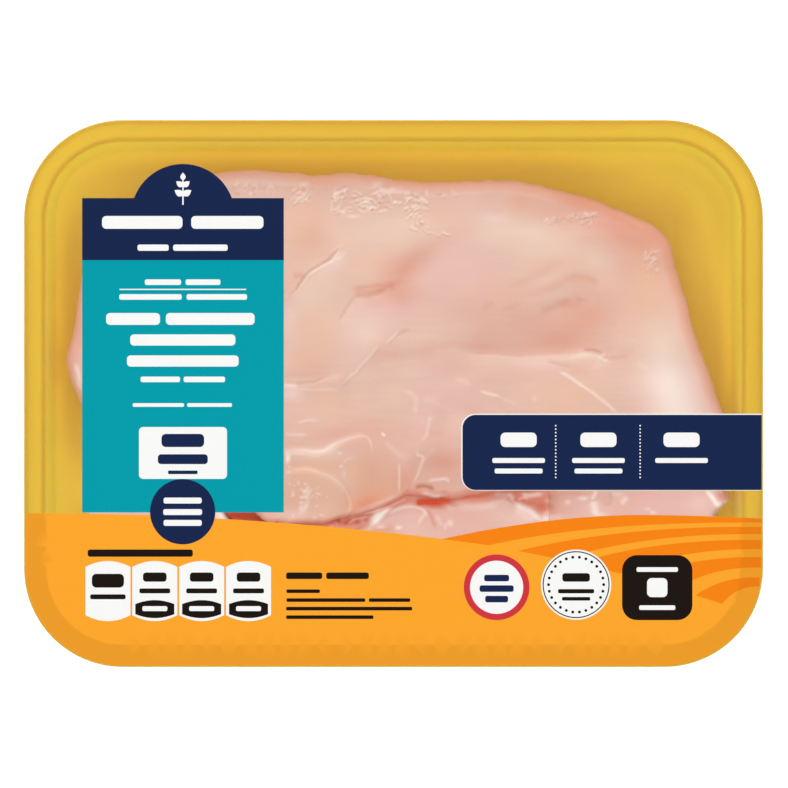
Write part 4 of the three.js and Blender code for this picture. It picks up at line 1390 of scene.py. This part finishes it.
def shape_right_breast(flesh):
    """Smooth pale piece at the right of the front row, with crumpled tissue at its left end."""
    spot = flesh.spot
    line = flesh.line
    spot(86, -40, 24, 12, height=2.0)
    spot(75, -34, 30, 6, rose=0.6, blush=0.1)
    spot(62, -35.5, 6, 4, fat=0.12)
    spot(83, -33.5, 12, 3, fat=0.06)
    spot(93, -33.5, 4, 3, fat=0.2)

    # Left end, thin and browner, with small bright folds; the brown is partly painted shade where it meets
    # the middle piece
    spot(47.5, -34, 4, 8, blush=0.3, height=-0.6)
    spot(47.4, -33, 1.3, 2.6, deep=0.1, crease=0.22)
    spot(48.2, -36.4, 1.2, 0.9, crease=0.12)
    spot(48, -31.4, 0.9, 0.8, deep=0.1, crease=0.2)
    spot(48.1, -34.5, 1.1, 0.9, deep=0.1, crease=0.25)
    left_end = smooth_step(53, 49, flesh.x)
    flesh.layers["height"] -= 0.9 * left_end * smooth_step(3.5, 0.5, flesh.depth)
    # The edge is painted a brighter salmon, a painted light against the shade there
    flesh.layers["salmon"] += 0.5 * left_end * smooth_step(1.4, 0.2, flesh.depth)
    spot(50, -32, 2.2, 1.6, crease=0.08, blush=0.2)
    spot(54.6, -30.4, 4, 1.1, blush=0.5)
    spot(51, -35.4, 4, 1.8, blush=0.25)
    spot(48.4, -37.8, 3, 1, fat=0.35)
    spot(53.3, -33.3, 0.9, 0.6, fat=0.5, height=0.2)
    spot(58, -31.8, 1.4, 0.6, fat=0.6, height=0.2)

    # Folds in the middle
    line([(62, -29.4), (61.3, -31), (60.5, -32.4)], 0.55, fat=0.6, height=0.25)
    line([(60.6, -32.6), (61.3, -34.5), (61.6, -37.4)], 1.2, fat=0.6, height=0.2)
    spot(62.8, -37.2, 2, 0.9, fat=0.5)
    spot(64, -31.4, 1.8, 1.4, blush=0.25)
    line([(66, -29.6), (66.4, -31.5), (66.2, -33), (65.2, -34.2)], 0.5, crease=0.18, height=-0.3)
    line([(63.6, -32.8), (64.8, -33.6), (65.8, -34.2)], 0.6, crease=0.14)
    spot(68.4, -30.6, 1.6, 0.6, fat=0.35)
    line([(70.8, -31), (70.4, -32.6), (69.2, -33.6)], 0.9, fat=0.45, height=0.2)
    spot(70, -35, 2.4, 0.9, peach=0.5, crease=0.05)
    line([(76.4, -35.8), (77.4, -35.2), (78.6, -35.8)], 0.4, fat=0.3, height=0.15)
    spot(79.2, -36.5, 1.0, 0.6, fat=0.5, height=0.15)

    # Right end: a pink tip behind a bright fold
    spot(100.8, -31, 2.2, 2.0, blush=1.0, crease=0.26)
    line([(94.4, -29.2), (96.6, -31.2), (97.9, -33), (99, -34.1), (100.4, -34.3)], 0.8, fat=0.9,
         height=0.3)
    spot(101.1, -33.5, 0.6, 0.5, fat=0.8, height=0.2)
    spot(99.2, -36.2, 0.9, 1.2, blush=0.8)


def shape_left_breast(flesh):
    """Piece at the left of the front row, almost all under the print."""
    flesh.line([(-54.6, -34.6), (-52.5, -36.8), (-50.5, -38.3), (-48.7, -39.6)], 1.3, fat=0.9)
    flesh.spot(-54, -38, 3, 2, fat=0.3, rose=0.4)


def rim_rings(outline, centre, roll, angles):
    """Rings over a rolled edge, each point moved towards the centre, from below to above."""
    before = np.roll(outline, 1, axis=0)
    after = np.roll(outline, -1, axis=0)
    tangent = after - before
    tangent /= np.hypot(*tangent.T)[:, None]
    inward = np.array(centre) - outline
    radius = np.hypot(*inward.T)
    inward /= radius[:, None]
    straight = np.abs(tangent[:, 0] * inward[:, 1] - tangent[:, 1] * inward[:, 0])
    rings = []
    for angle in np.radians(angles):
        inset = roll * (1 - math.cos(angle))
        reach = np.minimum(inset / np.maximum(straight, 0.6), radius * 0.9)
        rings.append(outline + inward * reach[:, None])
    return rings


def add_meat(name, outline, centre, roll, grain, top, bottom, shape, seed):
    """A piece of meat: rolled edges, a fine top with its tints, and a plain underside.

    grain holds the number of points round the edge, their distance over the top, and the wider
    one left of its last value, or zeros where the whole top is alike."""
    around, fine, coarse, coarse_until = grain
    angles = (-90, -62, -38, -15, 8, 28, 45, 60, 74, 90)
    edge = spaced(curve_through(outline, 12, closed=True), around)
    front = smooth_step(-12, -32, edge[:, 1])
    for cell, amount in ((3.2, edge_wobble), (1.7, front_wobble * front[:, None])):
        edge = edge + amount * np.column_stack([
            mottle(edge[:, 0], edge[:, 1], cell, seed + 7),
            mottle(edge[:, 0], edge[:, 1], cell, seed + 8),
        ])
    rims = rim_rings(edge, centre, roll * (1 - 0.5 * front), angles)

    border = rims[-1]
    border_turn = np.arctan2(border[:, 1] - centre[1], border[:, 0] - centre[0])
    edge_turn = np.arctan2(edge[:, 1] - centre[1], edge[:, 0] - centre[0])

    def reach_at(at, ring, ring_turn):
        """How far a ring lies from the centre in the direction of each place."""
        angle = np.arctan2(at[:, 1] - centre[1], at[:, 0] - centre[0])
        order = np.argsort(ring_turn)
        radius = np.hypot(ring[:, 0] - centre[0], ring[:, 1] - centre[1])
        return np.interp(angle, ring_turn[order], radius[order], period=2 * math.pi)

    low = border.min(0)
    high = border.max(0)
    inner = dots_over(low, high, fine)
    if coarse:
        sparse = dots_over(low, high, coarse)
        inner = np.vstack([inner[inner[:, 0] > coarse_until], sparse[sparse[:, 0] <= coarse_until]])
    distance = np.hypot(inner[:, 0] - centre[0], inner[:, 1] - centre[1])
    inner = inner[distance < reach_at(inner, border, border_turn) - 0.7 * fine]
    top_points, top_faces = fill(border, inner)

    under = [centre + (rims[0] - centre) * share for share in (0.4, 0.72)]
    flat = np.vstack([*under, *rims[:-1], top_points, [centre]])
    x = flat[:, 0]
    y = flat[:, 1]
    depth = reach_at(flat, edge, edge_turn) - np.hypot(x - centre[0], y - centre[1])
    flesh = Flesh(x, y, np.maximum(depth, 0), seed)
    shape(flesh)
    upper = top(x, y) + flesh.layers["height"]
    lower = bottom(x, y)
    rise = np.concatenate([
        np.full(2 * around, -1.0),
        np.repeat(np.sin(np.radians(angles[:-1])), around),
        np.ones(len(top_points)),
        [-1.0],
    ])
    # The widest line lies halfway up, but lower at the front, where the edge tapers.
    middle = lower + (upper - lower) * (0.5 - 0.3 * smooth_step(-12, -32, y))
    height = middle + np.where(rise > 0, upper - middle, middle - lower) * rise
    points = np.column_stack([flat, height])

    ring_count = len(under) + len(rims)
    faces = strips(ring_count, around)
    faces += (top_faces + (ring_count - 1) * around).tolist()
    faces += fan(0, len(points) - 1, around, False)
    piece = add_mesh(name, points, faces, 180)
    for tint in (*TINTS, "membrane"):
        add_values(piece, tint, flesh.layers[tint])
    return piece


def on_floor(x, y):
    return np.full(x.shape, rest_height)


def right_lift(x):
    """How far the right piece's outer end rides up on the tray's wall."""
    return right_end_lift * smooth_step(86, 104, x)


def right_underside(x, y):
    """On the floor, but over the middle piece's shelf at the left end."""
    on_shelf = (lower_slice_top - shelf_drop - 0.2 - rest_height) * smooth_step(58, 52, x)
    return on_floor(x, y) + right_lift(x) + on_shelf


class TRAYPACK_OT_meat(bpy.types.Operator):
    """Build the four pieces of raw breast meat"""

    bl_idname = "traypack.meat"
    bl_label = "Meat"
    bl_options = {"REGISTER", "UNDO"}

    def execute(self, context):
        material = raw_breast_meat(context.scene.traypack_meat)
        top = add_meat(
            "Breast_top", top_outline, (22, 1), top_slice_roll, (760, 0.42, 1.0, -36),
            top_breast_height, top_breast_underside, shape_top_breast, 11,
        )
        place(top, "raw_chicken", material, "breast_top")

        def lower_height(seed):
            return lambda x, y: lower_slice_top + 0.5 * unevenness(x, y, seed)

        middle = add_meat(
            "Breast_middle", middle_outline, (6, -46), lower_slice_roll, (420, 0.5, 0, 0),
            lower_height(1.1), on_floor, shape_middle_breast, 12,
        )
        place(middle, "raw_chicken", material, "breast_middle")
        right = add_meat(
            "Breast_right", right_outline, (75, -42), lower_slice_roll, (300, 0.5, 0, 0),
            lambda x, y: lower_height(2.3)(x, y) + 0.4 * right_lift(x),
            right_underside, shape_right_breast, 13,
        )
        place(right, "raw_chicken", material, "breast_right")
        left = add_meat(
            "Breast_left", left_outline, (-72, -46), lower_slice_roll, (220, 0.9, 0, 0),
            lower_height(3.2), on_floor, shape_left_breast, 14,
        )
        place(left, "raw_chicken", material, "breast_left")
        return {"FINISHED"}


# Film and print


def film_level(x, y):
    """Height of the film's underside, which hangs a little over the opening."""
    sag = bpy.context.scene.traypack_film.sag / MM
    half_x = pack_length / 2 - rim_width - 2
    half_y = pack_width / 2 - rim_width - 2
    across = np.clip(1 - (x / half_x) ** 2, 0, 1)
    along = np.clip(1 - (y / half_y) ** 2, 0, 1)
    hang = smooth_step(0, 1, across) * smooth_step(0, 1, along)
    return rim_height + 0.01 - hang * (sag + film_ripple * mottle(x, y, film_ripple_length, 5))


def thin_plates(outlines, low, high, step=5.0):
    """Closed thin plates that follow the film, from low to high over its underside."""
    all_points = []
    all_faces = []
    # Points on both sides of the rim's inner edge, where the ink changes its shade
    seal_lines = np.vstack([tray_ring(rim_width + off, 0, 12)[:, :2] for off in (-0.3, 0.4)])
    count = 0
    for outline in outlines:
        outline = with_steps(outline, step)
        inner = np.vstack([dots_over(outline.min(0), outline.max(0), step), seal_lines])
        flat, triangles = fill(outline, inner)
        level = film_level(flat[:, 0], flat[:, 1])
        size = len(flat)
        all_points += [
            np.column_stack([flat, level + low]),
            np.column_stack([flat, level + high]),
        ]
        all_faces += (triangles[:, ::-1] + count).tolist()
        all_faces += (triangles + count + size).tolist()
        all_faces += [
            (count + a, count + b, count + size + b, count + size + a)
            for a, b in ((i, (i + 1) % len(outline)) for i in range(len(outline)))
        ]
        count += 2 * size
    return np.vstack(all_points), all_faces


def add_print(name, outlines, layer, ink, slot, *nodes):
    """Printed fields on the film. A higher layer lies on the lower ones."""
    low = film_thickness + layer_gap * layer
    high = film_thickness + layer_step * layer
    piece = add_mesh(name, *thin_plates(outlines, low, high))
    points = np.array([vertex.co for vertex in piece.data.vertices]) / MM
    inset = inset_at(points[:, 0], points[:, 1])
    add_values(piece, "on_rim", smooth_step(rim_width + 0.3, rim_width - 0.2, inset))
    # So thin a layer of ink lets the studio's light through to the meat, untinted.
    piece.visible_shadow = False
    piece.visible_diffuse = False
    place(piece, slot, ink, *nodes)
    return piece


class TRAYPACK_OT_film(bpy.types.Operator):
    """Build the clear lidding film"""

    bl_idname = "traypack.film"
    bl_label = "Film"
    bl_options = {"REGISTER", "UNDO"}

    def execute(self, context):
        outline = tray_ring(film_edge_gap, 0)[:, :2]
        film = add_mesh("Film", *thin_plates([outline], 0, film_thickness))
        film.visible_shadow = False
        place(film, "clear_film", lidding_film(context.scene.traypack_film), "film")
        return {"FINISHED"}


def band_outline():
    """Orange band: a falling hill on the left and a low rise on the right."""
    left_top = (-film_x, -36.5)
    valley = (14.8, -44.3)
    right_hill = (73, -37)
    corner = corner_radius - film_edge_gap
    x = film_x - corner
    y = film_y - corner
    return np.vstack([
        arc(x, -y, corner, -90, 0, 16),
        [(film_x, -38.1)],
        bend((film_x, -38.1), (92, -37), right_hill),
        bend(right_hill, (46, -37.4), valley),
        bend(valley, (-48, -36.4), left_top),
        arc(-x, -y, corner, 180, 270, 16),
    ])


def band_stripes():
    """Stripes that sweep up to the right over the right hill, like furrows."""
    corner = corner_radius - film_edge_gap
    hill = band_outline()[17:66]
    stripes = [np.vstack([hill, [(29, -46.2)], bend((29, -46.2), (62, -38.8), (film_x, -39.3))])]
    rows = ((38, 51, -40.6, -42.8), (56, 69, -44.6, -47.4), (75, 86, -49.8, -53), (92, 100, -56, -58.8))
    for left, right, high, low in rows:
        start, end = ((x, -44.3 - 0.13 * (x - 15) - 0.0012 * (x - 15) ** 2) for x in (left, right))
        drop = max(0.0, -low - (film_y - corner))
        edge = film_x - 0.1 - corner + math.sqrt(corner ** 2 - drop ** 2)
        upper = bend(start, (left + 0.42 * (edge - left), high + 0.4), (edge, high))
        lower = bend((edge, low), (right + 0.42 * (edge - right), low + 0.4), end)
        stripes.append(np.vstack([[start], upper, [(edge, low)], lower]))
    return stripes


def header_outline():
    """Dark header with a round dome."""
    top = 59.5
    dome_x, half_chord, rise = -64.1, 14.9, 10.4
    radius = (half_chord ** 2 + rise ** 2) / (2 * rise)
    half = math.degrees(math.asin(half_chord / radius))
    return np.vstack([
        [(panel_left, panel_top), (panel_right, panel_top), (panel_right, top)],
        arc(dome_x, top + rise - radius, radius, 90 - half, 90 + half, 24),
        [(panel_left, top)],
    ])


def sprig():
    """A plain sprig of leaves in the dome."""
    x = -64.1
    pieces = [rounded_box(x - 0.22, 57.4, x + 0.22, 65.0, 0.2, 3)]
    leaves = ((64.9, 90, 2.4), (63.0, 38, 2.6), (63.0, 142, 2.6), (60.3, 32, 3.0), (60.3, 148, 3.0))
    for y, turn, length in leaves:
        share = np.linspace(0, 1, 9)
        width = 0.34 * length * np.sin(np.pi * share ** 0.8)
        along = np.concatenate([share * length, share[-2:0:-1] * length])
        across = np.concatenate([width, -width[-2:0:-1]])
        cos = math.cos(math.radians(turn))
        sin = math.sin(math.radians(turn))
        leaf = np.column_stack([x + along * cos - across * sin, y + along * sin + across * cos])
        pieces.append(leaf)
    return pieces


def tag_outline(left, right, bottom, top, crown):
    """A small tag, crowned at its top and bottom."""
    middle = (left + right) / 2
    start = (left, bottom + crown)
    turn = (right, bottom + crown)
    high_right = (right, top - crown)
    return np.vstack([
        [start],
        bend(start, (middle, bottom - crown), turn, 10),
        [high_right],
        bend(high_right, (middle, top + crown), (left, top - crown), 10),
    ])


def ring_of_dots(x, y, radius, count, size):
    angles = np.arange(count) * 2 * math.pi / count
    return [disc(x + radius * math.cos(a), y + radius * math.sin(a), size)[::4] for a in angles]


class TRAYPACK_OT_fields(bpy.types.Operator):
    """Print the large fields of colour"""

    bl_idname = "traypack.fields"
    bl_label = "Printed fields"
    bl_options = {"REGISTER", "UNDO"}

    def execute(self, context):
        inks = context.scene.traypack_print
        orange = printing_ink("orange_flexo_ink", inks.orange, 0.86)
        deep_orange = printing_ink("deep_orange_flexo_ink", inks.deep_orange, 0.9)
        navy = printing_ink("navy_flexo_ink", inks.navy)
        teal = printing_ink("teal_flexo_ink", inks.teal)
        white = printing_ink("white_flexo_ink", inks.white)
        panel = np.array([
            (panel_left, panel_bottom),
            (panel_right, panel_bottom),
            (panel_right, panel_top),
            (panel_left, panel_top),
        ])
        banner_edges = ((21, -29.4, -6.5, 4.0), (20.65, -29.55, -6.15, 4.3))
        banner, keyline = (
            np.vstack([
                [(film_x, low), (film_x, high)],
                arc(left + radius, high - radius, radius, 90, 180),
                arc(left + radius, low + radius, radius, 180, 270),
            ])
            for left, low, high, radius in banner_edges
        )
        add_print("Band", [band_outline()], 1, orange, "orange_ink", "print_band")
        add_print("Band_stripes", band_stripes(), 1.5, deep_orange, "orange_ink")
        add_print("Header", [header_outline()], 1, navy, "navy_ink", "print_header")
        add_print("Panel", [panel], 1, teal, "teal_ink", "print_panel")
        add_print("Banner_keyline", [keyline], 1, white, "white_ink")
        add_print("Banner", [banner], 2, navy, "navy_ink", "print_banner")
        return {"FINISHED"}


class TRAYPACK_OT_details(bpy.types.Operator):
    """Print the small fields and plain bars in the places of small print"""

    bl_idname = "traypack.details"
    bl_label = "Printed details"
    bl_options = {"REGISTER", "UNDO"}

    def execute(self, context):
        inks = context.scene.traypack_print
        white = bpy.data.materials["white_flexo_ink"]
        navy = bpy.data.materials["navy_flexo_ink"]
        dark = printing_ink("dark_flexo_ink", inks.dark)
        red = printing_ink("red_flexo_ink", inks.red)
        middle = -64.15
        badge_x, badge_y = -64.2, -36
        red_x, red_y = 31.4, -59
        white_x, white_y = 55.6, -58.2
        plaque_x = 80.3

        # Header and panel: white bars
        add_print("Sprig", sprig(), 2, white, "white_ink")
        add_print("Header_bars", [
            bar(-76.5, 52.1, 24.5, 3.9),
            bar(-50.6, 52.1, 22.0, 3.9),
            bar(-73.2, 44.4, 9.5, 1.9),
            bar(-58.8, 44.4, 16.6, 1.9),
        ], 2, white, "white_ink")
        add_print("Panel_bars", [
            bar(-70.2, 33.9, 11.0, 1.7),
            bar(-58.0, 33.9, 10.6, 1.7),
            bar(middle, 31.7, 38.6, 0.35),
            bar(-74.0, 29.4, 19.0, 1.7),
            bar(-53.8, 29.4, 18.4, 1.7),
            bar(-79.3, 22.7, 16.4, 3.6),
            bar(-55.8, 22.7, 27.0, 3.6),
            bar(middle, 16.3, 32.0, 3.4),
            bar(middle, 9.9, 34.0, 3.4),
            bar(-71.0, 4.3, 12.0, 1.7),
            bar(-57.6, 4.3, 12.6, 1.7),
            bar(-71.6, -3.5, 15.6, 1.1),
            bar(-56.0, -3.5, 13.6, 1.1),
        ], 2, white, "white_ink")

        # White box and round badge
        box = rounded_box(-77.5, -26, -50.7, -10.2, 1.3)
        add_print("Box", [box], 2, white, "white_ink", "print_box")
        add_print("Box_bars", [
            bar(middle, -14.3, 13.0, 4.0),
            bar(middle, -20.0, 15.2, 3.0),
            bar(middle, -24.0, 9.0, 1.1),
        ], 3, navy, "navy_ink")
        add_print("Badge", [disc(badge_x, badge_y, 9.95)], 3, navy, "navy_ink", "print_badge")
        add_print("Badge_bars", [
            bar(badge_x, -32.6, 11.6, 1.8),
            bar(badge_x, -36.1, 11.8, 1.8),
            bar(badge_x, -39.4, 11.6, 1.8),
        ], 4, white, "white_ink")

        # Tags along the front left
        tag_left, tag_pitch, tag_width = -93.8, 14.27, 13.7
        dark_bars = [bar(-77.1, -48.6, 32.0, 2.2)]
        lens_bars = []
        for index in range(4):
            left = tag_left + index * tag_pitch
            right = left + tag_width
            x = (left + right) / 2
            tag = tag_outline(left, right, -69.3, -51.0, 1.8)
            add_print(f"Tag_{index + 1}", [tag], 2, white, "white_ink", f"print_tag_{index + 1}")
            if index == 0:
                dark_bars += [bar(x, -57.0, 9.8, 4.2), bar(x, -61.9, 10.8, 1.5)]
            else:
                dark_bars += [bar(x, -55.9, 7.2, 2.8), bar(x, -60.1, 9.4, 1.5)]
                dark_bars.append(tag_outline(left + 0.9, right - 0.9, -68.4, -62.9, 1.2))
                lens_bars.append(bar(x, -65.5, 7.6, 1.5))
        add_print("Tag_bars", dark_bars, 3, dark, "dark_ink")
        add_print("Tag_white_bars", lens_bars, 4, white, "white_ink")

        # Small print beside the tags
        add_print("Small_bars", [
            bar(-27.2, -55.5, 11.0, 2.0),
            bar(-14.0, -55.5, 13.0, 2.0),
            bar(-27.5, -60.2, 10.2, 1.1),
            bar(-20.6, -62.9, 24.0, 1.1),
            bar(-1.2, -62.9, 12.6, 1.1),
            bar(-13.5, -65.5, 38.4, 1.1),
            bar(-19.4, -68.1, 26.6, 1.1),
        ], 2, dark, "dark_ink")

        # Side banner: three groups between dotted lines
        groups = []
        for x, rows in ((38.1, 2), (62.4, 2), (87.7, 1)):
            groups.append(bar(x, -14.1, 11.0, 4.4))
            groups += [bar(x, -20.4 - 3.2 * row, 16.0 - 1.4 * row, 1.5) for row in range(rows)]
        for x in (49.4, 75.1):
            groups += [disc(x, -9.8 - 1.05 * dot, 0.24)[::4] for dot in range(16)]
        add_print("Banner_bars", groups, 3, white, "white_ink")

        # Three marks at the front right
        add_print("Disc_red", [disc(red_x, red_y, 10)], 2, red, "red_ink", "print_disc_red")
        add_print("Disc_red_field", [disc(red_x, red_y, 8.1)], 3, white, "white_ink")
        add_print("Disc_red_bars", [
            bar(red_x, -56.2, 7.6, 2.0),
            bar(red_x, -59.4, 10.4, 2.0),
            bar(red_x, -62.6, 7.0, 2.0),
        ], 4, navy, "navy_ink")
        white_disc = disc(white_x, white_y, 10.7)
        add_print("Disc_white", [white_disc], 2, white, "white_ink", "print_disc_white")
        add_print("Disc_white_ring", [disc(white_x, white_y, 10.2)], 3, dark, "dark_ink")
        add_print("Disc_white_field", [disc(white_x, white_y, 9.85)], 4, white, "white_ink")
        add_print("Disc_white_bars", [
            *ring_of_dots(white_x, white_y, 8.4, 26, 0.45),
            bar(white_x, -56.0, 8.4, 2.6),
            bar(white_x, -60.2, 11.0, 1.3),
            bar(white_x, -62.5, 8.6, 1.1),
        ], 5, dark, "dark_ink")
        plaque = rounded_box(plaque_x - 10.7, -69, plaque_x + 10.7, -49.2, 4.5)
        add_print("Plaque", [plaque], 2, dark, "dark_ink", "print_plaque")
        add_print("Plaque_bars", [
            bar(plaque_x, -53.6, 12.6, 1.4),
            rounded_box(plaque_x - 3.1, -62.0, plaque_x + 3.1, -56.2, 1.4),
            bar(plaque_x, -65.2, 11.0, 1.4),
        ], 3, white, "white_ink")
        return {"FINISHED"}


# Studio


class TRAYPACK_OT_studio(bpy.types.Operator):
    """Set the floor, the lamps, the room light and the camera"""

    bl_idname = "traypack.studio"
    bl_label = "Studio"
    bl_options = {"REGISTER", "UNDO"}

    def execute(self, context):
        scene = context.scene
        settings = scene.traypack_studio
        signs = ((-1, -1), (1, -1), (1, 1), (-1, 1))
        corners = [(x * floor_reach, y * floor_reach, 0) for x, y in signs]
        floor = add_mesh("Studio_floor", corners, [(0, 1, 2, 3)])
        floor.data.materials.append(studio_paint(settings))

        lamps = (
            ("Top", settings.top_power, 0, 0, 2.6, 3.4),
            ("Key", settings.key_power, 20, 48, 1.6, 2.2),
            ("Fill_left", settings.fill_power, 110, 42, 1.5, 2.2),
            ("Fill_front", settings.fill_power, 200, 45, 1.5, 2.2),
            ("Fill_right", settings.fill_power, 290, 42, 1.5, 2.2),
        )
        for name, power, turn, tilt, size, distance in lamps:
            lamp = bpy.data.lights.new(name, "AREA")
            lamp.energy = power
            lamp.size = size
            holder = bpy.data.objects.new(name, lamp)
            scene.collection.objects.link(holder)
            out = Vector((
                math.sin(math.radians(tilt)) * -math.sin(math.radians(turn)),
                math.sin(math.radians(tilt)) * math.cos(math.radians(turn)),
                math.cos(math.radians(tilt)),
            ))
            holder.location = out * distance
            holder.rotation_euler = out.to_track_quat("Z", "Y").to_euler()
            holder.visible_camera = False
            # The top lamp would veil the flat film with its reflection.
            holder.visible_glossy = name != "Top"

        world = bpy.data.worlds.new("Room")
        world.use_nodes = True
        background = world.node_tree.nodes["Background"]
        background.inputs["Color"].default_value = (1.0, 1.0, 1.0, 1.0)
        background.inputs["Strength"].default_value = settings.sky
        scene.world = world

        frame_width = frame_pixels / pack_pixels * pack_length
        camera = bpy.data.cameras.new("Camera")
        camera.lens = settings.focal_length
        distance = frame_width * camera.lens / camera.sensor_width
        camera.clip_end = 100
        holder = bpy.data.objects.new("Camera", camera)
        scene.collection.objects.link(holder)
        # The photograph's pack lies half a pixel off the middle of its frame.
        half_pixel = pack_length / pack_pixels / 2
        holder.location = (half_pixel * MM, -half_pixel * MM, (distance + film_high[2]) * MM)
        scene.camera = holder
        scene.view_settings.view_transform = "Standard"
        return {"FINISHED"}


class TRAYPACK_PT_panel(bpy.types.Panel):
    """Lists the pack's settings and its steps"""

    bl_idname = "TRAYPACK_PT_panel"
    bl_label = "Tray pack"
    bl_space_type = "VIEW_3D"
    bl_region_type = "UI"
    bl_category = "Tray pack"

    def draw(self, context):
        for owner, step in STEPS:
            box = self.layout.box()
            settings = getattr(context.scene, owner)
            for name in settings.bl_rna.properties.keys():
                if name not in {"name", "rna_type"}:
                    box.prop(settings, name)
            box.operator(step.bl_idname)


SETTINGS = {
    "traypack_tray": TraySettings,
    "traypack_meat": MeatSettings,
    "traypack_film": FilmSettings,
    "traypack_print": PrintSettings,
    "traypack_studio": StudioSettings,
}
STEPS = (
    ("traypack_tray", TRAYPACK_OT_tray),
    ("traypack_meat", TRAYPACK_OT_meat),
    ("traypack_film", TRAYPACK_OT_film),
    ("traypack_print", TRAYPACK_OT_fields),
    ("traypack_print", TRAYPACK_OT_details),
    ("traypack_studio", TRAYPACK_OT_studio),
)


def register():
    for group in SETTINGS.values():
        bpy.utils.register_class(group)
    for _, step in STEPS:
        bpy.utils.register_class(step)
    bpy.utils.register_class(TRAYPACK_PT_panel)
    for name, group in SETTINGS.items():
        setattr(bpy.types.Scene, name, PointerProperty(type=group))


def unregister():
    for name in SETTINGS:
        delattr(bpy.types.Scene, name)
    bpy.utils.unregister_class(TRAYPACK_PT_panel)
    for _, step in reversed(STEPS):
        bpy.utils.unregister_class(step)
    for group in reversed(SETTINGS.values()):
        bpy.utils.unregister_class(group)


def main():
    register()
    bpy.ops.traypack.tray()
    bpy.ops.traypack.meat()
    bpy.ops.traypack.film()
    bpy.ops.traypack.fields()
    bpy.ops.traypack.details()
    bpy.ops.traypack.studio()


if __name__ == "__main__":
    main()
